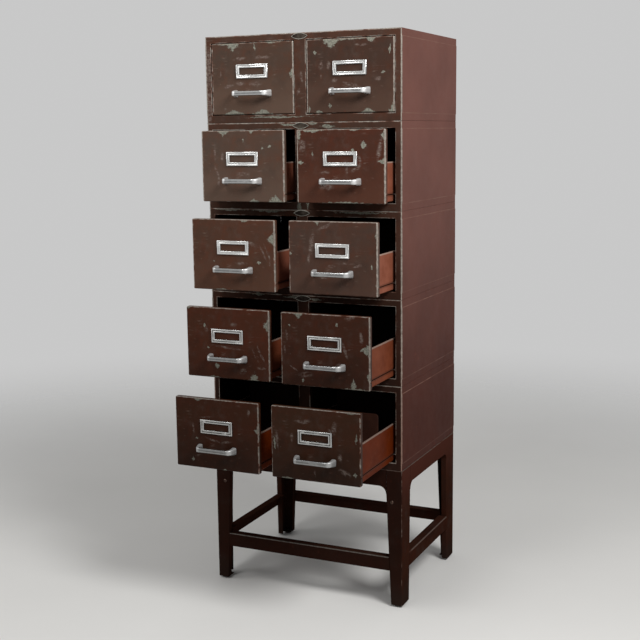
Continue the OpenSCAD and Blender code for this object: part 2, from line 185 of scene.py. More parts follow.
# hairlines: the level line of a stretched noise, kept in a few places only
def hairlines(place, turn, spread):
    along = moved(place, turn=(0, math.radians(turn), 0), scale=(0.07, 0.07, 1.0))
    return ramp(abs(blotches(along, 9, 1) - 0.5), 0.012, 0.003) * patches(place, spread, 3, 0.6, 0.56, 0.68)


# chips and scuffs: (x, z, half width, half height, turn in degrees), pointed and uneven or round
def marksOn(place, marks, pointed, edge):
    spots = []
    for x, z, wide, high, turn in marks:
        spot = moved(place, (x, 0, z), (0, -math.radians(turn), 0), (wide, 1e5, high), "TEXTURE")
        spots.append(vectorCalc("DOT_PRODUCT", vectorCalc("ABSOLUTE", spot), (1, 0, 1)) if pointed
                     else vectorCalc("LENGTH", spot))
    if not spots:
        return 0.0
    nearest = least(*spots)
    if pointed:
        nearest += wander(place, 7, 1.9, 4, 0.7)
    return ramp(nearest, *edge)


# colours are given from 0 to 255, as a paint chart has them
def changed(colour, shares):
    return [c * share for c, share in zip(colour, shares)]


def tone(colour, share=1.0):
    parts = [c * share / 255 for c in colour]
    return [c / 12.92 if c <= 10 / 255 else ((c + 0.055) / 1.055) ** 2.4 for c in parts] + [1.0]


# a material and its object coordinates in millimetres from a point of the piece
def newFinish(name, centre=(0, 0, 0)):
    material = bpy.data.materials.new(name)
    material.use_nodes = True
    material.node_tree.nodes.clear()
    coordinates = Value(material.node_tree.nodes.new("ShaderNodeTexCoord").outputs["Object"])
    return material, moved(coordinates, [-c for c in centre], scale=(1 / mm,) * 3)


def closeFinish(material, colour, rough, metal=0.0, height=None, relief=1.0, shine=0.5, alpha=None):
    tree = material.node_tree
    shader = tree.nodes.new("ShaderNodeBsdfPrincipled")
    for socket, value in (("Base Color", colour), ("Roughness", rough), ("Metallic", metal),
                          ("Specular IOR Level", shine), ("Alpha", alpha)):
        wire(value, shader.inputs[socket])
    if height is not None:
        bump = fed("ShaderNodeBump", {"Strength": relief, "Distance": mm, "Height": height})
        wire(bump, shader.inputs["Normal"])
    tree.links.new(shader.outputs[0], tree.nodes.new("ShaderNodeOutputMaterial").inputs["Surface"])
    return material


paintLook = {
    "primer": (146, 145, 132),
    "thinned": (122, 88, 75),
    "steel": (166, 157, 147),
    "scuff": (126, 113, 105),
    "smudge": (116, 62, 46),
    "bloom": (98, 86, 80),
    "scratch": (134, 118, 108),
    "dimmed": ("primer", "thinned", "steel", "scuff", "smudge", "bloom", "scratch"),
    "dim": 1.0,
    # shares of the enamel's own colour, and of the tone that a scuff, the primer and the steel have in places
    "warm": (1.06, 0.97, 0.93),
    "ruddy": (1.18, 0.93, 0.8),
    "dark": (0.66, 0.66, 0.68),
    "scuffShade": (0.86, 0.8, 0.8),
    "primerShade": 0.7,
    "steelShade": 0.72,
    # size, detail and roughness of the blotches, noise where they start and are full, strength
    "patches": {
        "warm": (85, 3, 0.5, 0.35, 0.65),
        "ruddy": (30, 5, 0.65, 0.44, 0.7, 0.58),
        "bloom": (38, 5, 0.65, 0.5, 0.75, 0.3),
        "grime": (55, 4, 0.6, 0.5, 0.72, 0.4),
        "speckle": (1.7, 3, 0.7, 0.3, 0.75, 0.3),
        "smudge": (13, 5, 0.7, 0.57, 0.7, 0.26),
        "smudgeSpread": (70, 2, 0.5, 0.45, 0.6),
        "flakes": (2.4, 4, 0.75, 0.36, 0.56),
        "flakeSpread": (7.5, 4, 0.65, 0.38, 0.56),
        "scuffTone": (6, 3, 0.5, 0.4, 0.6),
        "nicks": (4.2, 2, 0.6, 0.72, 0.77),
        "nickSpread": (45, 2, 0.5, 0.42, 0.62),
        "islands": (3.6, 4, 0.7, 0.3, 0.36),
        "primerTone": (4, 4, 0.7, 0.35, 0.65),
        "steelTone": (7, 4, 0.7, 0.35, 0.7),
    },
    # how far and in what grain the chips' outlines are torn
    "tears": ((8.0, 15), (4.0, 4.5), (1.8, 1.7)),
    "flakyScale": (0.45, 0.45, 1.0),
    "grimeFrom": (90, 40, 510),
    "hazyFrom": (310, 70, 190),
    "scuffEdge": (1.15, 0.35),
    "chipEdge": 0.15,
    # rubbing that thins the paint, and that bares the steel: where each starts and is full
    "thinning": (0.0, 0.45),
    "baring": (0.2, 0.9),
    "scratchTurns": (12, -64),
    "scratchSpreads": (38, 52),
    "scratchStrength": 0.28,
    "roughness": (0.29, 0.51),
    "chipRoughness": 0.62,
    "steelRoughness": 0.42,
    "steelMetal": 0.45,
    # heights in millimetres
    "paintDepth": 0.12,
    "peel": 0.035,
    "waves": 0.5,
    "relief": 0.8,
    "chips": (),
    "scuffs": (),
    "chipReach": 1.2,
    "faceDepth": 5.0,
}


# brown enamel over primer over steel; the first hook gives the mask of rubbed metal, which on some folds also
# carries painted highlights; the second changes the colour, with painted light and shade on the case, the
# drawers and the stand
def wornEnamel(name, centre, look, bareAndHighlightOf, tintAndShadeOf):
    p = {**paintLook, **look}
    p.update({key: [c * p["dim"] for c in p[key]] for key in p["dimmed"]})
    material, place = newFinish(name, centre)
    torn = place
    for amount, size in p["tears"]:
        torn = ragged(torn, amount, size)
    hazy = vectorCalc("ADD", place, p["hazyFrom"])
    onFace = ramp(apart(place)[1], p["faceDepth"] + 1, p["faceDepth"] - 1)

    def patch(key, where=place):
        return patches(where, *p["patches"][key])

    coat, dark = tone(p["colour"]), tone(changed(p["colour"], p["dark"]))
    for key, where, shade in (("warm", place, tone(changed(p["colour"], p["warm"]))),
                              ("ruddy", place, tone(changed(p["colour"], p["ruddy"]))),
                              ("bloom", hazy, tone(p["bloom"])),
                              ("grime", vectorCalc("ADD", place, p["grimeFrom"]), dark),
                              ("speckle", place, dark)):
        coat = blend(patch(key, where), coat, shade)
    coat = tintAndShadeOf(place, coat)
    coat = blend(patch("smudge", hazy) * patch("smudgeSpread", hazy), coat, tone(p["smudge"]))

    flaky = moved(place, scale=p["flakyScale"])
    scuff = patch("flakes", flaky) * patch("flakeSpread", flaky) * onFace
    scuff *= marksOn(torn, p["scuffs"], False, p["scuffEdge"])
    reach = p["chipReach"]
    chip = marksOn(torn, p["chips"], True, (reach, reach - p["chipEdge"])) * patch("islands")
    chip = most(chip, patch("nicks") * patch("nickSpread")) * onFace
    lines = [hairlines(*line) for line in zip((place, hazy), p["scratchTurns"], p["scratchSpreads"])]
    scratch = most(*lines) * onFace * p["scratchStrength"]
    bare = bareAndHighlightOf(place)

    coat = blend(scratch, coat, tone(p["scratch"]))
    coat = blend(scuff, coat, blend(patch("scuffTone", hazy), tone(p["scuff"]),
                                    tone(changed(p["scuff"], p["scuffShade"]))))
    primer = blend(patch("primerTone"), tone(p["primer"]), tone(p["primer"], p["primerShade"]))
    coat = blend(chip, coat, primer)
    coat = blend(ramp(bare, *p["thinning"]), coat, tone(p["thinned"]))
    steel = blend(patch("steelTone"), tone(p["steel"]), tone(p["steel"], p["steelShade"]))
    coat = blend(ramp(bare, *p["baring"]), coat, steel)

    rough = between(blotches(place, 26, 4, 0.6), *p["roughness"])
    rough = between(most(chip, scuff), rough, p["chipRoughness"])
    rough = between(bare, rough, p["steelRoughness"])
    height = ((1.0 - most(chip, bare)) * p["paintDepth"] + blotches(place, 2.4, 2) * p["peel"]
              + blotches(place, 60, 1) * p["waves"])
    return closeFinish(material, coat, rough, bare * p["steelMetal"], height, p["relief"], p["shine"])


drawerLook = {
    "shine": 0.07,
    # painted shade: the chips, primer and bare steel are dimmed towards the bottom row
    "dim": {1: 1.0, 2: 1.0, 3: 0.96, 4: 0.82, 5: 0.74},
    "chipReach": {1: 1.22, 2: 1.12, 3: 1.08, 4: 0.98, 5: 0.94},
    "sideBand": {1: 3.3, 2: 3.3, 3: 3.0, 4: 2.4, 5: 2.3},
    "topBand": 1.5,
    "bottomBand": 1.3,
    # the rubbed bands: how they stray (size, reach), their soft border and how far round the edge they go
    "stray": (10, 3.2),
    "border": (-0.6, 0.8),
    "aroundEdge": (4.2, 2.4),
    # each front's colour; the lower rows are painted darker, painted shade
    "colours": {
        "1left": (75, 60, 51), "1right": (65, 49, 41), "2left": (80, 65, 56), "2right": (70, 44, 34),
        "3left": (75, 53, 42), "3right": (70, 53, 45), "4left": (62, 35, 23), "4right": (53, 31, 21),
        "5left": (48, 26, 15), "5right": (48, 29, 18),
    },
    # the lower half is painted lighter in the upper rows and darker in the lower ones, painted light and
    # shade: share, change
    "lowHalfLightAndShade": {1: (0.8, 1.3), 2: (0.75, 1.2), 3: (0.5, 1.1), 4: (0.34, 0.5), 5: (0.62, 0.5)},
    "lowFrom": 70,
    "lowFull": -60,
    "lowDrift": 60,
    # how much of each edge is rubbed bare: left, right, top, bottom
    "rubbed": {
        "1left": (0.55, 0.95, 0.55, 0.25), "1right": (1.0, 1.0, 0.6, 0.3),
        "2left": (0.8, 0.7, 0.8, 0.3), "2right": (1.0, 1.0, 0.6, 0.45),
        "3left": (0.6, 0.7, 1.0, 0.6), "3right": (0.55, 1.0, 0.9, 0.4),
        "4left": (0.45, 0.75, 0.7, 0.5), "4right": (0.7, 0.9, 0.6, 0.6),
        "5left": (0.35, 0.62, 0.8, 0.2), "5right": (0.65, 0.45, 0.8, 0.3),
    },
    # x and z from the middle of the front, half sizes, turn
    "chips": {
        "1left": [(-51, 84, 16, 16, 0), (55, 84, 34, 3, 0), (-74, 84, 24, 3, 0), (109, 9, 10, 13, 0),
                  (-51, -84, 26, 10, 0), (26, -85, 27, 12, 0), (7, 73, 2, 7.5, 11)],
        "1right": [(-47, 83, 19, 18, 0), (3, 84, 70, 4, 0), (53, 83, 12, 10, 0), (99, 55, 3, 9, 0),
                   (82, 6, 5, 4, 19), (-88, 54, 4.3, 3.6, 0), (-50, -67, 5, 4.6, 0), (45, -83, 17, 8, 0),
                   (109, -83, 12, 20, 0), (-103, -75, 2.4, 8, 0), (-78, -83, 10, 6, 0)],
        "2left": [(-50, 84, 16, 13, 0), (25, 84, 8, 7, 0), (54, 42, 3.6, 2.6, 0), (73, 46, 5, 3, 30),
                  (86, -85, 19, 17, 0), (30, -84, 14, 7.5, 0), (3, 61, 2.2, 5.2, 0)],
        "2right": [(-70, 84, 38, 6, 0), (34, 84, 17, 4.5, 0), (57, 48, 7.3, 9, 0), (110, 11, 16, 9, 0),
                   (-101, 9, 6.6, 4.6, 0), (31, 37, 4.4, 3.4, 0), (-70, 28, 2, 4.4, 0),
                   (11, -84, 72, 4.2, 0), (108, 69, 9.5, 11, 0), (-104, 73, 5, 18, 0)],
        "3left": [(111, 39, 21, 17.5, 0), (68, -16, 6.4, 3.3, 13), (-35, -84, 33, 3.7, 0),
                  (31, 83, 13, 5.6, 0), (-110, 10, 3.3, 12, 0), (-52, -15, 2.7, 2.4, 0)],
        "3right": [(-38, 84, 8.5, 7, 0), (-106, 9, 3.6, 3.8, 0), (96, -16, 2.8, 6, 0),
                   (110, -57, 3.8, 11, 0), (110, 51, 5.7, 22.7, 0)],
        "4left": [(-106, 83, 8.4, 5, 0), (111, 49, 17, 23, 0), (-30, -55, 8.2, 8.3, 6), (69, -85, 17, 20, 0),
                  (-41, -83, 25, 4, 0), (-62, 40, 4.4, 6.3, 5), (-52, -11, 3.9, 2.9, 5),
                  (-110, -55, 4, 12.5, 0)],
        "4right": [(-65, 84, 15, 11, 0), (30, 63, 4.1, 5, 30), (111, 9, 24, 17, 0), (70, -76, 7, 19, 0),
                   (74, -84, 41, 6.4, 0), (108, -50, 6.2, 13.6, 0), (-88, 55, 3.3, 3.2, 5),
                   (-55, -70, 3.5, 6.1, 6)],
        "5left": [(-50, 84, 16, 9, 0), (111, 20, 13, 16, 0), (19, -83, 9.5, 3, 0), (-66, -65, 4.1, 6.8, -14),
                  (-54, -12, 5.9, 2.6, 6)],
        "5right": [(-102, -2, 2.9, 20, 4), (100, 25, 3.5, 15, -2), (-71, -82, 22, 3, 0),
                   (87, 83, 20, 3.6, 0), (97, -57, 5, 7.1, 6)],
    },
    "scuffs": {
        "1left": [(-33, 47, 19, 4.7, 9), (27, 49, 25, 4.2, 0), (9, -12, 19, 7, 0), (-64, -16, 17, 4.7, 14),
                  (-31, -10, 14, 5.7, 0), (-75, -70, 4, 3.5, 0), (-85, 13, 2.8, 7, 0)],
        "1right": [(-73, 24, 5, 10, -11), (-53, 25, 6, 11, 0), (-72, 0, 3.3, 5.7, 0), (6, -22, 30, 5, -16),
                   (-39, -10, 7.5, 5, 29), (70, -9, 10, 6.7, 0), (27, 68, 17, 3.3, 0)],
        "2left": [(-54, 22, 4.8, 13, 0), (-70, -11, 4.2, 15, 21), (-65, -36, 5.4, 13.5, 0),
                  (42, -10, 11, 3.1, 0), (1, -18, 19, 6, 0), (-74, 32, 2.8, 22, 0)],
        "2right": [(96, 40, 6.2, 33, -12), (48, 15, 4.6, 12.6, 11), (-34, -46, 20, 9.3, 0),
                   (-96, 47, 10, 16, 0), (39, -4, 15, 6.8, 31), (16, -8, 3.5, 10, 0),
                   (-39, -14, 12.6, 4.6, 0)],
        "3left": [(80, 6, 2.6, 22.5, 28), (90, 9, 2.6, 24, 23), (-77, 6, 4.4, 3.4, 0), (20, -19, 19, 3.6, 0),
                  (96, -17, 2.6, 7, 0), (50, 28, 10.6, 4.7, -27)],
        "3right": [(-52, 31, 7.5, 30, -10), (-59, -2, 4.8, 11.6, 0), (-3, -18, 11, 4.4, 0),
                   (62, -16, 12, 3.4, 13), (-23, -45, 15, 3, 0), (29, -10, 27, 3, 0),
                   (-19, 72, 20, 4.7, 22)],
        "4left": [(-58, 32, 6.6, 8.8, 5), (-1, -9, 48, 3.1, -5), (73, -25, 2.6, 18, 28),
                  (84, -14, 2.6, 20, 20), (94, -30, 2.6, 9.5, 26), (16, 46, 9.3, 4.8, 5),
                  (40, -64, 10.6, 7.2, 6), (89, -52, 13, 4.3, 6)],
        "4right": [(-95, 31, 3.8, 14, 5), (-101, -1, 3.3, 10.5, 5), (49, 6, 4.9, 21.6, 19),
                   (-79, -44, 12.7, 2.3, -29), (-49, -57, 20, 7, 6), (62, 79, 14.4, 4.5, 5),
                   (38, -30, 12.2, 6.9, 6), (89, 36, 4.8, 16, 5)],
        "5left": [(-9, -14, 25.5, 4.1, -16), (25, -16, 17.4, 2.9, 6), (-50, -55, 12.2, 2.9, 11),
                  (-63, 12, 2.7, 13, 6), (85, 60, 3.7, 9.4, 6), (-28, 41, 18.6, 2.4, 6)],
        "5right": [(-96, 6, 4.8, 25, 6), (-32, 53, 22, 5.8, 6), (47, 44, 7.4, 16, -4), (37, 36, 4.9, 8.2, 6),
                   (-1, -64, 2, 9, 6), (61, -21, 6, 9.3, 6), (-5, 4, 7.3, 3.6, 6), (-58, 14, 4.8, 11.3, 6),
                   (72, -55, 17.6, 7, -24), (15, -84, 50, 3.8, 0)],
    },
}


def drawerFrontPaint(row, hand):
    p, key = drawerLook, f"{row}{hand}"
    low, high = inMillimetres(f"drawer_{row}_{hand}_front")
    middle, half = (low + high) / 2, (high - low) / 2
    left, right, top, bottom = p["rubbed"][key]
    side = half.x - p["sideBand"][row]

    def bareAndHighlightOf(place):
        x, y, z = apart(place)
        stray = wander(place, *p["stray"])
        bands = ((-x, side, left), (x, side, right), (z, half.z - p["topBand"], top),
                 (-z, half.z - p["bottomBand"], bottom))
        near, far = p["border"]
        rubbed = [ramp(out + stray, inner + near, inner + far) * brokenAlong(place, share)
                  for out, inner, share in bands]
        return most(*rubbed) * ramp(y + stray, *p["aroundEdge"])

    # painted light and shade on the lower half of the front
    def tintAndShadeOf(place, coat):
        low = ramp(apart(place)[2] + blotches(place, 50, 3) * p["lowDrift"], p["lowFrom"], p["lowFull"])
        share, change = p["lowHalfLightAndShade"][row]
        return blend(low * share, coat, tone(p["colours"][key], change))

    look = {"shine": p["shine"], "dim": p["dim"][row], "chipReach": p["chipReach"][row],
            "colour": p["colours"][key], "chips": p["chips"][key], "scuffs": p["scuffs"][key]}
    name = inCamelCase(f"drawer_enamel{row}_{hand}")
    return wornEnamel(name, (middle.x, low.y, middle.z), look, bareAndHighlightOf, tintAndShadeOf)


caseLook = {
    "colour": (74, 55, 46),
    # painted shade on the face lower down; the sides are painted lighter than the face (painted light) and
    # darker lower down (painted shade)
    "lowFront": (34, 20, 16),
    "side": (105, 69, 61),
    "lowSide": (63, 28, 19),
    "shine": 0.02,
    "dim": 0.96,
    "faceDepth": 4.0,
    # rubbed edges: width in millimetres, share that is bare, size of the breaks
    "stray": (11, 3.0),
    "cornerRub": 2.8,
    "leftCornerRub": 4.2,
    "cornerBorder": 0.7,
    "lowRub": 0.42,
    "lowRubSections": 2.6,
    "seamRub": 2.2,
    "seamBroken": (0.62, 60),
    "openingRub": 1.3,
    "openingBorder": 0.5,
    "openingBroken": (0.55, 40),
    "border": 0.6,
    # the light lines along the side creases are a painted highlight on the folds: width, breaks, strength
    # always and in places
    "creaseHighlight": (1.4, 0.4),
    "creaseHighlightBreaks": (0.5, 50),
    "creaseHighlightStrength": (0.16, 0.14),
    "faceStarts": (3.0, 1.6),
    # how far in from the widest part of the case its sides start: for the creases, for the colour
    "creaseStarts": (1.6, 1.2),
    "sideStarts": (1.7, 1.3),
    # painted shade, darker downwards: height over the stand in sections where it starts and is full
    "frontDarkens": (4.4, 0.0),
    "frontDark": 0.85,
    "sideShadeHeights": (3.6, 0.1),
    "cloud": (120, 2, 0.5, 0.3, 0.7, 0.4),
    "cloudShade": 0.82,
    "grain": (1.4, 3, 0.7, 0.35, 0.7, 0.16),
    "grainShade": 0.8,
    # flaked and scuffed places on the face frame: x, height over the floor, half sizes, turn
    "chips": [(-34, 1160, 20, 3, 0), (30, 1163, 14, 4, 0), (70, 1155, 16, 5, 0), (-190, 957, 44, 3, 0),
              (-90, 956, 46, 3, 0), (150, 955, 60, 3.0, 0), (-60, 1178, 80, 2.2, 0), (-120, 752, 16, 5, 0),
              (-22, 748, 30, 3.4, 0), (34, 745, 18, 3, 0), (-6, 966, 5, 22, 0), (15, 975, 3, 14, 0)],
    "scuffs": [(-245, 1300, 9, 52, 0), (-245, 1225, 9, 50, 0), (-246, 1180, 8, 20, 0),
               (-248, 1000, 5, 30, 0), (4, 1268, 4, 15, 8), (-4, 1236, 5, 9, -20)],
}


# 0 at the first height and 1 at the second, both in sections over the stand
def overStand(z, heights):
    return ramp(z, *(standHeight + sections * sectionHeight for sections in heights))


# how far in from two edges that meet in a corner
def fromCorner(x, y):
    return calc("SQRT", calc("POWER", x, 2.0) + calc("POWER", y, 2.0))


def caseEnamel():
    p, shell = caseLook, caseParts
    mouthHalf = (halfWidth - shell["stile"] - shell["divider"] / 2) / 2
    mouthX = shell["divider"] / 2 + mouthHalf
    mouthTall = (sectionHeight - shell["topRail"] - shell["bottomRail"]) / 2
    mouthZ = shell["bottomRail"] + mouthTall

    def bareAndHighlightOf(place):
        x, y, z = apart(place)
        stray = wander(place, *p["stray"])
        across = abs(x)
        up = (z - standHeight + 0.002) % sectionHeight
        atFace = ramp(y, *p["faceStarts"])
        reach = between(calc("LESS_THAN", x, 0), p["cornerRub"], p["leftCornerRub"])
        intoFace = fromCorner(halfWidth - across, y) + stray - reach
        corner = ramp(intoFace, p["cornerBorder"], -p["cornerBorder"])
        corner *= between(overStand(z, (0.0, p["lowRubSections"])), p["lowRub"], 1.0)
        seamAt = sectionHeight - p["seamRub"]
        seam = ramp(up + stray, seamAt - p["border"], seamAt + p["border"])
        seam *= atFace * brokenAlong(place, *p["seamBroken"])
        opening = abs(most(abs(across - mouthX) - mouthHalf, abs(up - mouthZ) - mouthTall)) + abs(stray)
        opening = ramp(opening, p["openingRub"] + p["openingBorder"], p["openingRub"]) * atFace
        opening *= brokenAlong(place, *p["openingBroken"])
        # painted highlight along the side creases, drawn as thinned paint
        crease = abs(abs(up - sectionHeight / 2) - (sectionHeight / 2 - shell["band"] - p["border"]))
        crease = ramp(crease, *p["creaseHighlight"]) * ramp(halfWidth - across, *p["creaseStarts"])
        always, inPlaces = p["creaseHighlightStrength"]
        crease *= brokenAlong(place, *p["creaseHighlightBreaks"]) * inPlaces + always
        return most(corner, seam, opening, crease)

    # painted shade on the face lower down; painted light on the sides, with painted shade on them lower down
    def tintAndShadeOf(place, coat):
        x, y, z = apart(place)
        coat = blend(overStand(z, p["frontDarkens"]) * p["frontDark"], coat, tone(p["lowFront"]))
        cloud, grain = patches(place, *p["cloud"]), patches(place, *p["grain"])
        shades = [blend(grain, blend(cloud, tone(p[key]), tone(p[key], p["cloudShade"])),
                        tone(p[key], p["grainShade"])) for key in ("side", "lowSide")]
        outside = ramp(halfWidth - abs(x), *p["sideStarts"])
        return blend(outside, coat, blend(overStand(z, p["sideShadeHeights"]), *shades))

    return wornEnamel("caseEnamel", (0, faceY, 0), p, bareAndHighlightOf, tintAndShadeOf)


insideLook = {
    # colour, colour of the rusty patches, roughness
    # painted shade: the insides of the case, the drawer fronts and the trays are painted near black
    "paintedShadeInside": ((16, 11, 9), (22, 14, 11), 0.6),
    "badgeField": ((38, 29, 25), (96, 88, 78), 0.4),
    "trayInside": ((26, 15, 12), (34, 19, 14), 0.6),
    "followerEnamel": ((46, 27, 21), (54, 32, 24), 0.45),
    "rust": (40, 4, 0.6, 0.35, 0.7),
    "dust": (2.2, 4, 0.7, 0.45, 0.8, 0.25),
    "dustShade": 1.35,
    "roughSpread": (-0.1, 0.12),
    "grain": 0.05,
    "shine": 0.06,
}


def insideCoat(name):
    p = insideLook
    colour, rust, rough = p[name]
    material, place = newFinish(name)
    coat = blend(patches(place, *p["rust"]), tone(colour), tone(rust))
    coat = blend(patches(place, *p["dust"]), coat, tone(colour, p["dustShade"]))
    rough = between(blotches(place, 18, 3), *(rough + change for change in p["roughSpread"]))
    height = blotches(place, 2.0, 3) * p["grain"]
    return closeFinish(material, coat, rough, height=height, shine=p["shine"])


trayLook = {
    # painted shade: the trays of the lower rows are painted darker
    "colours": {1: (134, 80, 62), 2: (134, 80, 62), 3: (136, 82, 64), 4: (110, 58, 38), 5: (84, 31, 6)},
    "shade": (0.86, 0.8, 0.75),
    "shine": 0.03,
    "worn": (150, 98, 78),
    "grease": (58, 34, 25),
    "grooveDarkWidth": (7.0, 1.5),
    "grooveDarkStrength": 0.55,
    "hem": (176, 150, 136),
    "hemFrom": 3.4,
    "hemFull": 2.2,
    "hemBroken": (0.9, 22),
    "hemStrength": 0.85,
    "hemMetal": 0.35,
    "roughness": (0.34, 0.5),
    "grain": 0.04,
    "grooveBelow": 1.2,
    "streakScale": (0.5, 0.4, 1.0),
    "cloud": (60, 4, 0.6, 0.3, 0.7),
    "streaks": (9, 5, 0.65, 0.55, 0.8, 0.16),
}


# tray paint: brighter along the hem, darker beside the runner groove
def trayEnamel(row):
    p, base = trayLook, trayLook["colours"][row]
    material, place = newFinish(f"trayEnamel{row}", (0, 0, sectionFloor[row]))
    z = apart(ragged(place, 1.6, 14))[2]
    coat = blend(patches(place, *p["cloud"]), tone(base), tone(changed(base, p["shade"])))
    coat = blend(patches(moved(place, scale=p["streakScale"]), *p["streaks"]), coat, tone(p["worn"]))
    besideGroove = abs(z - (trayParts["grooveTop"] - p["grooveBelow"]))
    grease = ramp(besideGroove, *p["grooveDarkWidth"]) * p["grooveDarkStrength"]
    coat = blend(grease, coat, tone(p["grease"]))
    hem = ramp(z, trayParts["top"] - p["hemFrom"], trayParts["top"] - p["hemFull"])
    hem *= brokenAlong(place, *p["hemBroken"]) * p["hemStrength"]
    # the hem is dimmed by row like the fronts, painted shade
    coat = blend(hem, coat, tone(p["hem"], drawerLook["dim"][row]))
    rough = between(hem, between(blotches(place, 20, 3), *p["roughness"]), paintLook["steelRoughness"])
    height = blotches(place, 2.2, 3) * p["grain"]
    return closeFinish(material, coat, rough, hem * p["hemMetal"], height, shine=p["shine"])


standLook = {
    # painted shade: the stand's colour and its dim are darkened as the light falls off towards the floor
    "colour": (47, 28, 21),
    "apronSide": (68, 38, 31),
    "legFront": (29, 18, 15),
    "dirt": (38, 29, 25),
    "shine": 0.0,
    "dim": 0.62,
    "faceDepth": -1000,
    # rubbed edges: width, share that is bare, size of the breaks
    "stray": (9, 2.6),
    "edgeRub": 1.5,
    "edgeBorder": 0.6,
    "edgeBroken": (0.5, 34),
    "rimRub": (2.4, 1.2),
    "rimBroken": (0.75, 40),
    "rimStrength": 0.5,
    # painted highlight along the folded top of the stretchers, drawn as bare metal
    "shelfHighlight": (1.7, 1.0),
    "shelfDepth": (3.0, 2.0),
    "shelfHighlightBreaks": (0.85, 50),
    "shelfBelow": 0.8,
    "sideShelfHighlightStrength": 0.5,
    # where the stretchers start: in from the sides, in from the front and rear
    "stretcherFrom": (35, 54),
    # darker towards the floor: where it starts and is full, how it strays, strength
    "floorDarkHeight": (95, 30),
    "floorDarkDrift": 30,
    "floorDarkStrength": 0.75,
    # where the outer sides and the front faces start, strength of their colours: the outer sides painted
    # lighter (painted light), the front faces darker (painted shade)
    "sideStarts": (2.2, 1.6),
    "litApronSideStrength": 0.8,
    "frontStarts": (3.0, 2.0),
    "legFrontStrength": 0.6,
}


def standEnamel():
    p, stand = standLook, standParts
    legSide, legEnd = p["stretcherFrom"]

    def bareAndHighlightOf(place):
        x, y, z = apart(place)
        stray = wander(place, *p["stray"])
        inward = halfWidth - abs(x)
        behind = halfDepth - abs(y - halfDepth)
        edge = ramp(fromCorner(inward, behind) + stray, p["edgeRub"] + p["edgeBorder"],
                    p["edgeRub"] - p["edgeBorder"]) * brokenAlong(place, *p["edgeBroken"])
        rim = ramp(z + stray, standHeight - p["rimRub"][0], standHeight - p["rimRub"][1])
        rim *= brokenAlong(place, *p["rimBroken"]) * p["rimStrength"]
        # painted highlight along the stretchers' folded tops
        shelf = ramp(abs(z - (stand["stretcherTop"] - p["shelfBelow"])) + abs(stray), *p["shelfHighlight"])
        front = ramp(behind, *p["shelfDepth"]) * ramp(inward, legSide - 0.5, legSide + 0.5)
        side = ramp(inward, *p["shelfDepth"]) * ramp(behind, legEnd - 0.5, legEnd + 0.5)
        shelf *= most(front, side * p["sideShelfHighlightStrength"])
        return most(edge, rim, shelf * brokenAlong(place, *p["shelfHighlightBreaks"]))

    def tintAndShadeOf(place, coat):
        x, y, z = apart(place)
        # painted light on the outer sides of the aprons, painted shade on the front faces
        beside = ramp(halfWidth - abs(x), *p["sideStarts"]) * p["litApronSideStrength"]
        beside *= ramp(z, standHeight - 3 * stand["apron"], standHeight)
        coat = blend(beside, coat, tone(p["apronSide"]))
        coat = blend(ramp(y, *p["frontStarts"]) * p["legFrontStrength"], coat, tone(p["legFront"]))
        low = ramp(z + blotches(place, 20, 3) * p["floorDarkDrift"], *p["floorDarkHeight"])
        return blend(low * p["floorDarkStrength"], coat, tone(p["dirt"]))

    return wornEnamel("standEnamel", (0, faceY, 0), p, bareAndHighlightOf, tintAndShadeOf)


metalLook = {
    "castBright": {"colour": (206, 206, 205), "rough": 0.17, "dull": (150, 150, 150), "peel": 0.004},
    "plateBright": {"colour": (222, 222, 220), "rough": 0.26, "dull": (176, 175, 170), "peel": 0.002},
    "badgeMetal": {"colour": (206, 202, 190), "rough": 0.3, "dull": (150, 142, 128), "peel": 0.03},
    "runnerSteel": {"colour": (150, 143, 138), "rough": 0.38, "dull": (96, 80, 70), "peel": 0.05},
    "screwSteel": {"colour": (82, 66, 58), "rough": 0.45, "dull": (54, 38, 32), "peel": 0.03},
    # the pulls and the label holders are painted darker towards the bottom row (painted shade); the holders
    # of rows 2 and 3 are painted a little lighter (painted light)
    "castShadeByRow": {1: 1.0, 2: 0.94, 3: 0.87, 4: 0.79, 5: 0.73},
    "plateLightAndShadeByRow": {1: 1.0, 2: 1.03, 3: 1.03, 4: 0.93, 5: 0.84},
    "tired": (9, 4, 0.65, 0.45, 0.75),
    "tiredStrength": 0.4,
    # fine lines from polishing
    "lineScale": (0.12, 1.0, 1.0),
    "lineDepth": 0.0008,
    "unevenRoughness": 0.08,
    "pits": (1.1, 2, 0.6, 0.66, 0.74, 0.5),
    "pitShade": 0.55,
    "paintedShadeTone": 0.5,
    # where the plating is rubbed matt; its colour is painted lighter there, a painted highlight
    "mattRoughness": 0.42,
    "mattMetal": 0.62,
    "mattHighlight": 1.1,
    "mattLimit": 236,
}


def brightMetal(name, row=1, dim=1.0, wearAndShade=None):
    p, look = metalLook, metalLook[name]
    colour, dull = ([c * dim for c in look[key]] for key in ("colour", "dull"))
    material, place = newFinish(f"{name}{row}")
    # the wear hook gives the places rubbed matt, whose colour is painted lighter as a painted highlight, and
    # the painted shade
    worn, paintedShade = wearAndShade(place) if wearAndShade else (0.0, 0.0)
    tired = patches(place, *p["tired"])
    lines = blotches(moved(place, scale=p["lineScale"]), 0.5, 2, 0.6)
    coat = blend(tired * p["tiredStrength"], tone(colour), tone(dull))
    coat = blend(patches(place, *p["pits"]), coat, tone(dull, p["pitShade"]))
    coat = blend(worn, coat, tone([min(c * p["mattHighlight"], p["mattLimit"]) for c in colour]))
    coat = blend(paintedShade, coat, tone(dull, p["paintedShadeTone"]))
    rough = (lines + tired) * p["unevenRoughness"] + (look["rough"] - 0.06)
    rough = between(worn, rough, p["mattRoughness"])
    height = lines * p["lineDepth"] + blotches(place, 3.4, 2) * look["peel"]
    return closeFinish(material, coat, rough, 1.0 - worn * (1.0 - p["mattMetal"]), height)


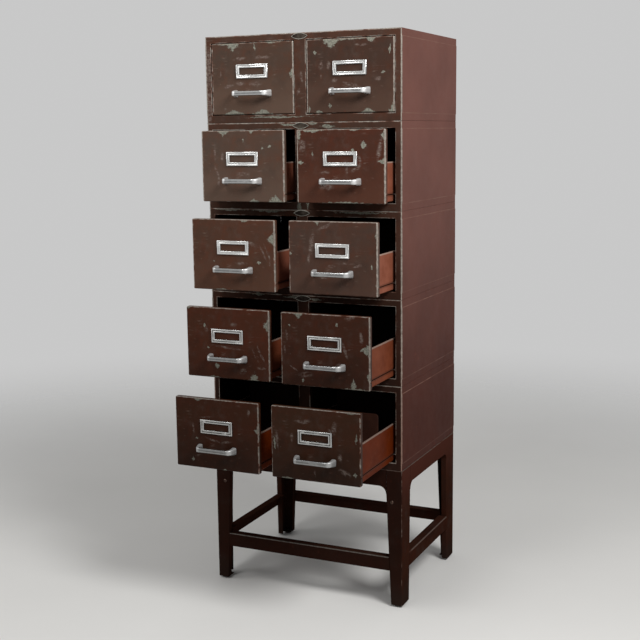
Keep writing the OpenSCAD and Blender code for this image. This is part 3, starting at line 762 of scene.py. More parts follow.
# across and up from the middle of a fitting that every drawer has
def fromMiddle(place, fitting):
    low, high = inMillimetres(f"drawer_1_right_{fitting}")
    middle = (low + high) / 2
    x, y, z = apart(place)
    up = (z - standHeight) % sectionHeight - (middle.z - sectionFloor[1])
    return abs(abs(x) - middle.x), up, (high - low) / 2


# the pulls: feet rubbed matt and painted lighter (a painted highlight), with painted shade in a stripe along
# the grip and along its lower edge
def pullWearAndShade(place):
    p = pullParts
    across, up, half = fromMiddle(place, "pull")
    feet = ramp(across, p["footStart"], p["footStart"] + p["footFade"])
    shadeStripe = ramp(abs(up), *p["shadeStripe"]) * patches(place, *p["shadeStripeBreaks"])
    below = ramp(up, *p["shadeBelow"]) * p["shadeBelowStrength"]
    return feet, most(shadeStripe, below) * (1.0 - feet * p["footShadeCut"])


# the label holders: painted shade in the groove between the two ridges, and a painted shadow beside the
# window
def holderShade(row):
    def wearAndShade(place):
        p = holderParts
        across, up, half = fromMiddle(place, "label_holder")
        share = least((half.x - across) / (half.x - p["windowWide"] / 2),
                      (half.z - abs(up)) / (half.z - p["windowTall"] / 2))
        groove = ramp(abs(share - p["grooveAt"]), *p["grooveWidth"])
        dirt = most(groove, ramp(share, *p["brink"])) * p["grooveShade"][row]
        return 0.0, dirt * patches(place, *p["shadeBreaks"])

    return wearAndShade


glideLook = {"colours": ((40, 37, 35), (66, 62, 58)), "roughness": (0.5, 0.75), "grain": 0.05}


def glideRubber():
    p = glideLook
    material, place = newFinish("glideRubber")
    coat = blend(blotches(place, 3, 4), *(tone(colour) for colour in p["colours"]))
    rough = between(blotches(place, 2, 3), *p["roughness"])
    return closeFinish(material, coat, rough, height=blotches(place, 1.2, 2) * p["grain"])


# mesh helpers; everything is built in millimetres and scaled once at the end
def shift(bm, offset, verts=None):
    bmesh.ops.translate(bm, vec=offset, verts=verts or bm.verts[:])


def stretch(bm, shares, verts=None):
    bmesh.ops.scale(bm, vec=shares, verts=verts or bm.verts[:])


def rotate(bm, axis, angle, verts=None):
    bmesh.ops.rotate(bm, verts=verts or bm.verts[:], cent=(0, 0, 0), matrix=Matrix.Rotation(angle, 3, axis))


def block(bm, low, high):
    low, high = Vector(low), Vector(high)
    made = bmesh.ops.create_cube(bm, size=1)["verts"]
    stretch(bm, high - low, made)
    shift(bm, (low + high) / 2, made)


def sliceAt(bm, axis, places):
    normal = Vector((axis == "x", axis == "y", axis == "z"))
    for place in places:
        bmesh.ops.bisect_plane(bm, geom=bm.verts[:] + bm.edges[:] + bm.faces[:], dist=1e-4,
                               plane_co=normal * place, plane_no=normal)


def soften(bm, edges, radius, segments=3):
    bmesh.ops.bevel(bm, geom=list(edges), offset=radius, offset_type="OFFSET", affect="EDGES",
                    segments=segments, profile=0.5, material=-1, clamp_overlap=True)


def edgesWhere(bm, test):
    return [e for e in bm.edges if test(e.verts[0].co, e.verts[1].co)]


def foldsWhere(bm, test=lambda a, b: True):
    return [e for e in edgesWhere(bm, test) if len(e.link_faces) == 2]


def upright(a, b):
    return abs(a.z - b.z) > 1


def facesWhere(bm, test):
    return [f for f in bm.faces if test(f.calc_center_median(), f.normal)]


def removeFaces(bm, faces, context="FACES"):
    bmesh.ops.delete(bm, geom=faces, context=context)


def faceOutwards(bm):
    bmesh.ops.recalc_face_normals(bm, faces=bm.faces[:])


def chain(bm, points, closed=False):
    made = [bm.verts.new(point) for point in points]
    pairs = list(zip(made, made[1:])) + ([(made[-1], made[0])] if closed else [])
    return [bm.edges.new(pair) for pair in pairs]


# closed outline in a plane across Y, from its right half
def bothSides(half, y):
    return [(x, y, z) for x, z in half] + [(-x, y, z) for x, z in reversed(half)]


def vertsAmong(made):
    return [g for g in made if isinstance(g, bmesh.types.BMVert)]


def facesAmong(made):
    return [g for g in made if isinstance(g, bmesh.types.BMFace)]


# edges or faces drawn out along a direction; gives what is new
def drawnOut(bm, geom, offset=(0, 0, 0)):
    if isinstance(geom[0], bmesh.types.BMEdge):
        made = bmesh.ops.extrude_edge_only(bm, edges=geom)["geom"]
    else:
        made = bmesh.ops.extrude_face_region(bm, geom=geom)["geom"]
    shift(bm, offset, vertsAmong(made))
    return made


# the sheet's second side; its faces in front of insideTo get the second material
def giveWall(bm, wall, insideTo=None):
    outsides = set(bm.faces)
    bmesh.ops.solidify(bm, geom=bm.faces[:], thickness=wall)
    for f in bm.faces:
        if insideTo is not None and f not in outsides and f.calc_center_median().y < insideTo:
            f.material_index = 1


# bent sheet: its outer line is drawn out along one direction, folds rounded, then given its wall
def bentSheet(bm, line, along, wall, folds):
    drawnOut(bm, chain(bm, line), along)
    for radius, test in folds:
        soften(bm, foldsWhere(bm, test), radius)
    giveWall(bm, wall)


def filled(bm, edges):
    return bmesh.ops.contextual_create(bm, geom=edges)["faces"]


def addTo(bm, other):
    faceOutwards(other)
    holder = bpy.data.meshes.new("holder")
    other.to_mesh(holder)
    other.free()
    bm.from_mesh(holder)
    bpy.data.meshes.remove(holder)


def addPlate(bm, half, y, wall):
    plate = bmesh.new()
    drawnOut(plate, filled(plate, chain(plate, bothSides(half, y), closed=True)), (0, -wall, 0))
    addTo(bm, plate)


def joinedOver(items, makeShape):
    joined = bmesh.new()
    for item in items:
        addTo(joined, makeShape(item))
    return joined


def inCamelCase(node):
    first, *others = node.split("_")
    return first + "".join(word.capitalize() for word in others)


def finishPiece(bm, node, materials, body="case", name=None, crease=32, even=True):
    name = name or inCamelCase(node)
    bmesh.ops.remove_doubles(bm, verts=bm.verts[:], dist=0.0005)
    stretch(bm, (mm, mm, mm))
    mesh = bpy.data.meshes.new(name)
    bm.to_mesh(mesh)
    bm.free()
    for material in materials:
        mesh.materials.append(material)
    mesh.shade_smooth()
    mesh.set_sharp_from_angle(angle=math.radians(crease))
    piece = bpy.data.objects.new(name, mesh)
    bpy.context.scene.collection.objects.link(piece)
    if even:
        piece.modifiers.new("evenShading", "WEIGHTED_NORMAL").keep_sharp = True
    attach(piece, body)
    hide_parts(node)


caseParts = {
    "sheet": 1.5,
    "stile": 16,
    "divider": 30,
    "topRail": 16,
    "bottomRail": 18.4,
    "lip": 14,
    "band": 17,
    "fieldStep": 0.8,
    "fieldSlope": 1.4,
    "cornerRadius": 3.0,
    "seamRadius": 1.1,
    "lipRadius": 1.3,
}


def sectionShell(row, paint, inside):
    p = caseParts
    floor, ceiling = sectionFloor[row], sectionFloor[row] + sectionHeight
    side = halfWidth - p["fieldStep"]
    inner, outer = p["divider"] / 2, halfWidth - p["stile"]
    low, high = floor + p["bottomRail"], ceiling - p["topRail"]
    bm = bmesh.new()
    block(bm, (-side, faceY, floor), (side, backY, ceiling))
    removeFaces(bm, facesWhere(bm, lambda c, n: n.y > 0.9))
    sliceAt(bm, "x", (-outer, -inner, inner, outer))
    field = (floor + p["band"], floor + p["band"] + p["fieldSlope"],
             ceiling - p["band"] - p["fieldSlope"], ceiling - p["band"])
    sliceAt(bm, "z", sorted({round(z, 4) for z in (low, high, *field)}))
    for v in bm.verts:
        if abs(v.co.x) > side - slack and field[0] + slack < v.co.z < field[3] - slack:
            v.co.x += math.copysign(p["fieldStep"], v.co.x)
    # drawer openings with their lips
    mouths = facesWhere(bm, lambda c, n: n.y < -0.9 and inner < abs(c.x) < outer and low < c.z < high)
    made = drawnOut(bm, mouths, (0, p["lip"], 0))
    removeFaces(bm, mouths + facesAmong(made))

    def inFace(a, b):
        return max(a.y, b.y) < faceY + slack

    def atSide(a, b):
        return min(abs(a.x), abs(b.x)) > side - slack

    def bothAt(a, b, places):
        return any(abs(a - at) < slack and abs(b - at) < slack for at in places)

    def onLip(a, b):
        inMouth = all(inner - slack < abs(c.x) < outer + slack and low - slack < c.z < high + slack
                      for c in (a, b))
        along = bothAt(abs(a.x), abs(b.x), (inner, outer)) or bothAt(a.z, b.z, (low, high))
        return inFace(a, b) and inMouth and along

    soften(bm, edgesWhere(bm, onLip), p["lipRadius"])
    for level in (floor, ceiling):
        seam = edgesWhere(bm, lambda a, b: bothAt(a.z, b.z, (level,)) and (inFace(a, b) or atSide(a, b)))
        soften(bm, seam, p["seamRadius"])
    soften(bm, edgesWhere(bm, lambda a, b: inFace(a, b) and atSide(a, b)), p["cornerRadius"], 4)
    giveWall(bm, p["sheet"], backY - slack)
    finishPiece(bm, f"section_{row}_shell", [paint, inside])


backParts = {"rim": 20, "pressed": 2.2, "slope": 4}
backLook = {
    "colour": (92, 63, 54),
    "shine": 0.06,
    "dim": 0.86,
    # rubbed edges: width, share that is bare, size of the breaks
    "stray": (11, 2.4),
    "ridgeRub": (2.4, 0.9),
    "ridgeBroken": (0.6, 44),
    "ridgeStrength": 0.62,
    "edgeRub": (2.0, 0.6),
    "edgeBroken": (0.6, 60),
    "dust": (104, 82, 72),
    "dustHeight": (70, 10),
    "dustPatches": (34, 4, 0.6, 0.35, 0.65, 0.4),
    "rust": (112, 58, 36),
    "rustRuns": (12, 4, 0.65, 0.6, 0.74),
    "rustSpread": (95, 2, 0.5, 0.42, 0.62, 0.5),
    # where the back was knocked: x, height over the floor, half sizes, turn
    "chips": [(-231, 1322, 9, 14, 0), (118, 1190, 5, 3, 20), (238, 1010, 8, 20, 0), (-96, 962, 14, 4, 0),
              (-236, 742, 7, 11, 0), (60, 690, 4, 6, 15), (229, 566, 10, 7, 0), (-40, 432, 6, 3, -10),
              (232, 372, 12, 8, 0), (-226, 366, 16, 7, 0), (176, 1352, 22, 4, 0), (-20, 1160, 16, 3, 0)],
    "scuffs": [(-120, 1240, 46, 5, 12), (90, 1080, 60, 4, -8), (-60, 880, 34, 7, 4), (140, 820, 7, 40, 12),
               (-160, 640, 52, 5, -5), (30, 520, 26, 9, 18), (170, 420, 40, 6, 3), (-120, 400, 8, 26, -14)],
}


# the back sheets: rubbed on the pressed edge, dusty and rust-stained lower down
def backEnamel():
    p = backLook
    panelHalf = inMillimetres("back_panels")[1].x

    def bareAndHighlightOf(place):
        x, y, z = apart(place)
        stray = wander(place, *p["stray"])
        up = (z - standHeight) % sectionHeight
        fromDecks = sectionHeight / 2 - caseParts["sheet"] - abs(up - sectionHeight / 2)
        inset = least(panelHalf - abs(x), fromDecks)
        ridge = ramp(abs(inset - backParts["rim"]) + abs(stray), *p["ridgeRub"]) * p["ridgeStrength"]
        edge = ramp(inset + stray, *p["edgeRub"]) * brokenAlong(place, *p["edgeBroken"])
        return most(ridge * brokenAlong(place, *p["ridgeBroken"]), edge)

    def tintAndShadeOf(place, coat):
        up = (apart(place)[2] - standHeight) % sectionHeight
        coat = blend(ramp(up, *p["dustHeight"]) * patches(place, *p["dustPatches"]), coat, tone(p["dust"]))
        runs = moved(place, scale=(1.0, 1.0, 0.22))
        return blend(patches(runs, *p["rustRuns"]) * patches(place, *p["rustSpread"]), coat, tone(p["rust"]))

    return wornEnamel("backEnamel", (0, backY, 0), p, bareAndHighlightOf, tintAndShadeOf)


# an upright sheet between the decks of one section
def sheetFrom(floor, low, high):
    bm = bmesh.new()
    block(bm, (low.x, low.y, floor + caseParts["sheet"]),
          (high.x, high.y, floor + sectionHeight - caseParts["sheet"]))
    return bm


def backPanels(paint, inside):
    low, high = inMillimetres("back_panels")

    def panel(floor):
        bm = sheetFrom(floor, low, high)
        for sign in (1, -1):
            faces = facesWhere(bm, lambda c, n: n.y * sign > 0.9)
            for key in ("rim", "slope"):
                bmesh.ops.inset_region(bm, faces=faces, thickness=backParts[key], use_even_offset=True)
            shift(bm, (0, -backParts["pressed"], 0), list({v for f in faces for v in f.verts}))
        for f in bm.faces:
            f.material_index = int(f.normal.y < -0.3)
        return bm

    finishPiece(joinedOver(sectionFloor.values(), panel), "back_panels", [paint, inside])


# one upright sheet in each section, with its front edge hemmed
def partitions(paint):
    low, high = inMillimetres("drawer_partitions")
    high.y = inMillimetres("back_panels")[0].y - backParts["pressed"]

    def partition(floor):
        bm = sheetFrom(floor, low, high)
        hem = edgesWhere(bm, lambda a, b: upright(a, b) and a.y < low.y + 1)
        soften(bm, hem, (high.x - low.x) * 0.45)
        return bm

    finishPiece(joinedOver(sectionFloor.values(), partition), "drawer_partitions", [paint])


runnerParts = {
    "wall": 1.5,
    "z": 40,
    "leg": 20,
    "start": 3,
    "reach": 11.2,
    "overlap": 2,
    "foldRadius": 2.0,
    "noseRadius": 3.0,
}


def runners(steel):
    p = runnerParts
    high = inMillimetres("drawer_runners")[1]
    sheet = caseParts["sheet"]
    start = faceY + caseParts["lip"] + sheet
    rims = ((sheet / 2, 1, caseParts["divider"] / 2 - sheet / 2),
            (high.x, -1, caseParts["stile"] - caseParts["fieldStep"] - sheet))

    def runner(item):
        floor, hand, (foot, way, rim) = item
        top = floor + p["z"]
        bm = bmesh.new()
        reach, length = rim + p["reach"], high.y - backParts["pressed"] - start
        bentSheet(bm, [(0, start, top - p["leg"]), (0, start, top), (reach, start, top)],
                  (0, length, 0), p["wall"], [(p["foldRadius"], lambda a, b: True)])
        block(bm, (rim, faceY + p["start"], top - p["wall"]), (reach, start + p["overlap"], top))
        nose = edgesWhere(bm, lambda a, b: upright(a, b) and a.y < faceY + p["start"] + 1)
        soften(bm, nose, p["noseRadius"], 4)
        stretch(bm, (way * hand, 1, 1))
        shift(bm, (foot * hand, 0, 0))
        return bm

    items = [(floor, hand, rim) for floor in sectionFloor.values() for hand in hands.values() for rim in rims]
    finishPiece(joinedOver(items, runner), "drawer_runners", [steel])


badgeParts = {
    "wide": 43,
    "tall": 15,
    "steps": 40,
    # from the outline inwards: share of the width and height left, how proud of the rail
    "rings": [(1.0, 1.0, 0.9), (0.985, 0.96, 1.2), (0.93, 0.84, 1.2), (0.915, 0.81, 0.85), (0.84, 0.66, 0.85),
              (0.83, 0.64, 1.05), (0.81, 0.61, 1.05), (0.8, 0.59, 0.85)],
    "fieldFrom": 3,
}


# pointed ovals, two arcs that meet at the tips, drawn up ring by ring from the rail
def ovalBadges(metal, field):
    p = badgeParts
    arc = (p["wide"] ** 2 + p["tall"] ** 2) / (4 * p["tall"])

    def badge(floor):
        bm = bmesh.new()
        rim = bmesh.ops.create_circle(bm, cap_ends=True, segments=p["steps"], radius=p["wide"] / 2)["verts"]
        for v in rim:
            v.co.y = math.copysign(math.sqrt(arc ** 2 - v.co.x ** 2) - arc + p["tall"] / 2, v.co.y)
        top = bm.faces[:][0]
        if top.normal.z < 0:
            bmesh.ops.reverse_faces(bm, faces=[top])
        wide = tall = 1.0
        for ring, (across, along, rise) in enumerate(p["rings"]):
            made = drawnOut(bm, [top])
            if ring:
                removeFaces(bm, [top], "FACES_ONLY")
            top = facesAmong(made)[0]
            for v in top.verts:
                v.co = Vector((v.co.x * across / wide, v.co.y * along / tall, rise))
            for f in {f for e in top.edges for f in e.link_faces}:
                f.material_index = int(ring >= p["fieldFrom"])
            wide, tall = across, along
        rotate(bm, "X", math.pi / 2)
        shift(bm, (0, faceY, floor + sectionHeight - caseParts["topRail"] / 2))
        return bm

    badges = joinedOver(sectionFloor.values(), badge)
    finishPiece(badges, "oval_badges", [metal, field], crease=40)


standParts = {
    "sheet": 2,
    "apron": 42,
    "frontTop": 41,
    "frontLow": 29,
    "sideTop": 58,
    "sideLow": 50,
    "flange": 15,
    "cornerRadius": 18,
    "cornerSteps": 8,
    "foldRadius": 3.2,
    "flangeRadius": 2.4,
    "railRadius": 2.2,
    "stretcherTop": 125,
    "stretcher": 34,
    "shelf": 22,
    "glide": 5,
    # a glide from its middle outwards: radius, height
    "glideProfile": [(0, 0), (7.8, 0), (8.8, 0.3), (10.2, 1.4), (11, 2.8), (11, 5), (2.4, 5), (2.4, 9),
                     (0, 9)],
    "glideSteps": 28,
}
legBend = standHeight - standParts["apron"] - standParts["cornerRadius"]


def legWidth(z, low, top):
    return low + (top - low) * min(1, (z - standParts["glide"]) / (legBend - standParts["glide"]))


# one leg in its own corner: x and y run inwards from the outer corner
def legShape():
    p = standParts
    bm = bmesh.new()
    front, side, deep, foot = p["frontLow"], p["sideLow"], p["flange"], p["glide"]
    outline = ((front, deep), (front, 0), (0, 0), (0, side), (deep, side))
    made = drawnOut(bm, chain(bm, [(x, y, foot) for x, y in outline]), (0, 0, legBend - foot))
    for v in vertsAmong(made):
        if v.co.x > front - slack:
            v.co.x = p["frontTop"]
        if v.co.y > side - slack:
            v.co.y = p["sideTop"]
    drawnOut(bm, edgesWhere(bm, lambda a, b: min(a.z, b.z) > legBend - slack), (0, 0, standHeight - legBend))
    soften(bm, foldsWhere(bm, lambda a, b: upright(a, b) and max(a.x, a.y) < slack), p["foldRadius"], 4)
    soften(bm, foldsWhere(bm, lambda a, b: upright(a, b) and max(a.x, a.y) > p["flange"]), p["flangeRadius"])
    giveWall(bm, p["sheet"])
    block(bm, (p["sheet"] / 2, p["sheet"] / 2, foot), (front - p["sheet"] / 2, front, foot + p["sheet"]))
    return bm


def intoCorner(bm, x, y):
    stretch(bm, (-x, -y, 1))
    shift(bm, (x * halfWidth, middleY + y * halfDepth, 0))
    faceOutwards(bm)
    return bm


def legs(paint):
    for x, y, end, hand in corners:
        finishPiece(intoCorner(legShape(), x, y), f"leg_{end}_{hand}", [paint],
                    name=inCamelCase(f"{end}_{hand}_leg"))


# a rail over the XZ plane: web filled, the shelf folded back from its rim, then the wall
def railFrom(bm, rim):
    p = standParts
    face = filled(bm, bm.edges[:])[0]
    face.normal_update()
    if face.normal.y > 0:
        bmesh.ops.reverse_faces(bm, faces=[face])
    drawnOut(bm, [rim], (0, p["shelf"], 0))
    bm.normal_update()
    soften(bm, foldsWhere(bm), p["railRadius"])
    giveWall(bm, p["sheet"])
    return bm


# the web's lower edge runs down into the legs in a round corner
def apronShape(half):
    p = standParts
    radius, low = p["cornerRadius"], standHeight - p["apron"]
    bm = bmesh.new()
    tops = [bm.verts.new((x, 0, standHeight)) for x in (-half, half)]
    inner = []
    for sign, top in zip((-1, 1), tops):
        tip = bm.verts.new((sign * half, 0, low - radius))
        bm.edges.new((tip, top))
        centre = (sign * (half - radius), 0, low - radius)
        corner = bmesh.ops.spin(bm, geom=[tip], cent=centre, axis=(0, -sign, 0), angle=math.pi / 2,
                                steps=p["cornerSteps"], use_merge=False)
        inner += corner["geom_last"]
    bm.edges.new(inner)
    return railFrom(bm, bm.edges.new(tops))


def stretcherShape(half):
    bm = bmesh.new()
    return railFrom(bm, chain(bm, bothSides(half, 0), closed=True)[-1])


# front and rear, or turned a quarter for the two sides
def standRails(paint):
    p = standParts
    levels = (p["stretcherTop"], p["stretcherTop"] - p["stretcher"])
    for kind, makeShape in (("aprons", apronShape), ("stretchers", stretcherShape)):
        for end, half, out, low, top, quarter in (
                ("front_rear", halfWidth, halfDepth, p["frontLow"], p["frontTop"], 0),
                ("side", halfDepth, halfWidth, p["sideLow"], p["sideTop"], 90)):
            shape = half - top if kind == "aprons" else [(half - legWidth(z, low, top), z) for z in levels]

            def rail(angle):
                bm = makeShape(shape)
                shift(bm, (0, -out, 0))
                rotate(bm, "Z", math.radians(angle + quarter))
                shift(bm, (0, middleY, 0))
                return bm

            finishPiece(joinedOver((0, 180), rail), f"{end}_{kind}", [paint])


def turned(profile, steps):
    bm = bmesh.new()
    edges = chain(bm, [(radius, 0, height) for radius, height in profile])
    bmesh.ops.spin(bm, geom=edges + bm.verts[:], cent=(0, 0, 0), axis=(0, 0, 1), angle=2 * math.pi,
                   steps=steps, use_merge=True)
    bmesh.ops.remove_doubles(bm, verts=bm.verts[:], dist=0.001)
    faceOutwards(bm)
    return bm


def floorGlides(rubber):
    p = standParts

    def glide(corner):
        bm = turned(p["glideProfile"], p["glideSteps"])
        shift(bm, (p["frontLow"] / 2, p["frontLow"] / 2, 0))
        return intoCorner(bm, *corner[:2])

    finishPiece(joinedOver(corners, glide), "floor_glides", [rubber])


screwParts = {
    "radius": 4.5,
    "head": 2.4,
    # from the top of the head outwards: share of the radius, share of the height
    "dome": [(0, 1), (0.34, 0.95), (0.66, 0.76), (0.88, 0.48), (1, 0.2), (1, 0)],
    "shank": 2.4,
    "length": 8,
    "steps": 20,
    "slot": 1.0,
    "slotDepth": 1.1,
    "inset": 11,
    "setBack": 30,
    "legInset": 3,
    "legHeight": 264,
    # no two slots stand the same way
    "turns": {"first": 0.4, "back": 2.1, "rise": 97, "leg": 1.1},
}


def screwShape(angle):
    p = screwParts
    half, head = p["slot"] / 2, p["head"]
    profile = [(radius * p["radius"], height * head) for radius, height in p["dome"]]
    bm = turned(profile + [(p["shank"], 0), (p["shank"], -p["length"]), (0, -p["length"])], p["steps"])
    sliceAt(bm, "x", (-half, half))
    slot = facesWhere(bm, lambda c, n: abs(c.x) < half and c.z > head * 0.3 and n.z > 0.1)
    for v in vertsAmong(drawnOut(bm, slot)):
        v.co.z = head - p["slotDepth"]
    removeFaces(bm, [f for f in slot if f.is_valid], "FACES_ONLY")
    rotate(bm, "Z", angle)
    return bm


def assemblyScrews(steel):
    p, turns = screwParts, screwParts["turns"]

    def deckScrew(item):
        floor, (x, y) = item
        bm = screwShape(turns["first"] + x + turns["back"] * y + floor / turns["rise"])
        shift(bm, (p["inset"], p["setBack"], floor + caseParts["sheet"]))
        return intoCorner(bm, x, y)

    def legScrew(corner):
        x, y = corner
        bm = screwShape(turns["leg"] * x + y)
        rotate(bm, "X", math.pi / 2)
        shift(bm, (standParts["frontLow"] - p["legInset"], 0, p["legHeight"]))
        return intoCorner(bm, x, y)

    sides = [corner[:2] for corner in corners]
    joined = joinedOver([(floor, corner) for floor in sectionFloor.values() for corner in sides], deckScrew)
    addTo(joined, joinedOver(sides, legScrew))
    finishPiece(joined, "assembly_screws", [steel])


trayParts = {
    "wall": 1.2,
    "inset": 6.5,
    "frontThick": 12,
    "length": 364,
    "low": 22.9,
    "top": 113.4,
    "hem": 4,
    "hemDrop": 3,
    "hemRadius": 1.3,
    "foldRadius": 2.4,
    "groove": 4,
    "grooveTop": 40.4,
    "grooveLow": 38.1,
    "backWall": 346,
    "backWallHeight": 130,
    "backCorner": 6,
    "stopWidth": 30,
    "stopRise": 6,
    "stopCorner": 5,
}


def drawerTray(drawer, floor, paint, inside):
    p = trayParts
    low, high = inMillimetres(f"{drawer}_front")
    frontHalf, wall, w = (high.x - low.x) / 2, p["wall"], p["wall"] / 2
    out, top, hemFoot = frontHalf - p["inset"], p["top"], p["top"] - p["hemDrop"]
    hem, groove, grooveTop, grooveLow = out - p["hem"], out - p["groove"], p["grooveTop"], p["grooveLow"]
    side = [(hem, hemFoot), (hem, top), (out, top), (out, grooveTop), (groove, grooveTop),
            (groove, grooveLow), (out, grooveLow), (out, p["low"])]
    folds = [(p["hemRadius"], lambda a, b: a.z > top - slack),
             (p["foldRadius"], lambda a, b: a.z < p["low"] + slack)]
    bm = bmesh.new()
    line = bothSides([(-x, z) for x, z in side], p["frontThick"] - wall)
    bentSheet(bm, line, (0, p["length"] + wall, 0), wall, folds)
    for f in bm.faces:
        c = f.calc_center_median()
        f.material_index = int(c.z < hemFoot - 1 and f.normal.dot(Vector((c.x, 0, c.z - top / 2))) < 0)
    painted = len(bm.faces)
    # back wall with the stop tab in its middle, then the inner sheet of the front
    crest, backTop = sectionHeight - caseParts["topRail"] + p["stopRise"], p["low"] + p["backWallHeight"]
    tab, corner, cut = p["stopWidth"] / 2, p["stopCorner"], p["stopCorner"] * 0.3
    addPlate(bm, [(out - w, p["low"] + w), (out - w, grooveLow - w), (groove - w, grooveLow - w),
                  (groove - w, grooveTop + w), (out - w, grooveTop + w), (out - w, hemFoot),
                  (hem - w, hemFoot), (hem - w, backTop - p["backCorner"]),
                  (hem - w - p["backCorner"], backTop), (tab, backTop), (tab, crest - corner),
                  (tab - cut, crest - cut), (tab - corner, crest)], p["backWall"], wall)
    reach = frontHalf - wall
    addPlate(bm, [(reach, low.z - floor + wall), (reach, grooveLow), (groove, grooveLow), (groove, grooveTop),
                  (reach, grooveTop), (reach, high.z - floor - wall)], p["frontThick"], wall)
    for f in bm.faces[painted:]:
        f.material_index = 1
    shift(bm, ((low.x + high.x) / 2, low.y, floor))
    finishPiece(bm, f"{drawer}_tray", [paint, inside], drawer)


frontParts = {
    "wall": 1.2,
    "topRadius": 2.4,
    "cornerRadius": 3.0,
    # the notches in its sides for the runners: how far behind the face, how far from the middle
    "notchStart": 2.2,
    "notchFrom": 80,
}


def drawerFront(drawer, floor, paint, inside):
    p = frontParts
    low, high = inMillimetres(f"{drawer}_front")
    middle = (low.x + high.x) / 2
    bm = bmesh.new()
    block(bm, low, high)
    removeFaces(bm, facesWhere(bm, lambda c, n: n.y > 0.9))
    soften(bm, edgesWhere(bm, lambda a, b: abs(a.y - b.y) > 1), p["cornerRadius"])
    soften(bm, edgesWhere(bm, lambda a, b: max(a.y, b.y) < low.y + slack), p["topRadius"])
    grooveLow, grooveTop = floor + trayParts["grooveLow"], floor + trayParts["grooveTop"]
    notchY = low.y + p["notchStart"]
    sliceAt(bm, "z", (grooveLow, grooveTop))
    sliceAt(bm, "y", (notchY,))
    removeFaces(bm, facesWhere(bm, lambda c, n: grooveLow < c.z < grooveTop and c.y > notchY
                               and abs(c.x - middle) > p["notchFrom"]))
    giveWall(bm, p["wall"], high.y + 1)
    finishPiece(bm, f"{drawer}_front", [paint, inside], drawer)


pullParts = {
    # centre x, centre y, turn from straight out (degrees), height, thickness
    "stations": [(45.0, 0.0, 0, 16.8, 12.0), (45.0, -2.5, 3, 16.2, 11.2), (44.6, -7.5, 6, 14.8, 9.8),
                 (43.9, -12.0, 10, 13.4, 8.8), (43.0, -15.5, 18, 12.5, 8.2), (41.4, -18.6, 40, 11.8, 7.8),
                 (38.6, -20.7, 65, 11.4, 7.4), (34.5, -21.4, 84, 11.1, 7.1), (28.0, -21.5, 90, 10.8, 7.0),
                 (18.0, -21.5, 90, 10.6, 7.0), (8.0, -21.5, 90, 10.6, 7.0)],
    "squareness": 5,
    "roundSteps": 24,
    # wear and painted light and shade: where the matt, painted-lighter feet start, the half width of the
    # painted shade stripe, the painted shade on the lower edge
    "footStart": 34.0,
    "footFade": 7,
    "footShadeCut": 0.75,
    "shadeStripe": (2.2, 0.9),
    "shadeStripeBreaks": (22, 3, 0.5, 0.3, 0.55, 0.5),
    "shadeBelow": (-3.2, -4.8),
    "shadeBelowStrength": 0.7,
}


def drawerPull(drawer, metal):
    p = pullParts
    low, high = inMillimetres(f"{drawer}_pull")
    face = inMillimetres(f"{drawer}_front")[0].y
    n = p["squareness"]
    bm = bmesh.new()
    rings = []
    farHalf = [(-x, y, -angle, *section) for x, y, angle, *section in reversed(p["stations"])]
    for x, y, angle, tall, thick in p["stations"] + farHalf:
        ring = bmesh.ops.create_circle(bm, cap_ends=False, segments=p["roundSteps"], radius=1)["verts"]
        for v in ring:
            fit = (abs(v.co.x) ** n + abs(v.co.y) ** n) ** (-1 / n)
            v.co = Vector((v.co.x * fit * thick / 2, 0, v.co.y * fit * tall / 2))
        rotate(bm, "Z", math.radians(-angle), ring)
        shift(bm, (x, y, 0), ring)
        rings.append(list({e for v in ring for e in v.link_edges}))
    for first, second in zip(rings, rings[1:]):
        bmesh.ops.bridge_loops(bm, edges=first + second)
    filled(bm, rings[0])
    filled(bm, rings[-1])
    faceOutwards(bm)
    shift(bm, ((low.x + high.x) / 2, face, (low.z + high.z) / 2))
    finishPiece(bm, f"{drawer}_pull", [metal], drawer, crease=50)


holderParts = {
    "windowWide": 66,
    "windowTall": 16.5,
    # nested frames from the wall over the two ridges to the window: share of the way in, height
    "rings": [(0.0, 0.0), (0.0, 2.4), (0.09, 3.2), (0.2, 3.5), (0.32, 3.1), (0.42, 2.3), (0.56, 2.3),
              (0.66, 3.0), (0.78, 3.3), (0.92, 2.9), (1.0, 2.2), (1.0, 1.2), (0.5, 1.2), (0.5, 0.0)],
    # painted shade: share of the way in to the groove, its half width, the brink of the window, strength by
    # row
    "grooveAt": 0.49,
    "grooveWidth": (0.2, 0.08),
    "brink": (0.86, 1.0),
    "grooveShade": {1: 0.2, 2: 0.2, 3: 0.25, 4: 0.9, 5: 1.0},
    "shadeBreaks": (12, 3, 0.5, 0.25, 0.5),
}


def labelHolder(drawer, metal):
    p = holderParts
    low, high = inMillimetres(f"{drawer}_label_holder")
    middle, half = (low + high) / 2, (high - low) / 2
    bm = bmesh.new()
    loops = []
    for share, rise in p["rings"]:
        x = half.x + (p["windowWide"] / 2 - half.x) * share
        z = half.z + (p["windowTall"] / 2 - half.z) * share
        points = [(middle.x + sx * x, high.y - rise, middle.z + sz * z)
                  for sx, sz in ((-1, -1), (1, -1), (1, 1), (-1, 1))]
        loops.append(chain(bm, points, closed=True))
    for first, second in zip(loops, loops[1:] + loops[:1]):
        bmesh.ops.bridge_loops(bm, edges=first + second)
    faceOutwards(bm)
    finishPiece(bm, f"{drawer}_label_holder", [metal], drawer, crease=50, even=False)


# mergeWithin in millimetres, flatWithin and softenOver in degrees
followerParts = {"radius": 0.6, "mergeWithin": 0.002, "flatWithin": 1, "softenOver": 50}


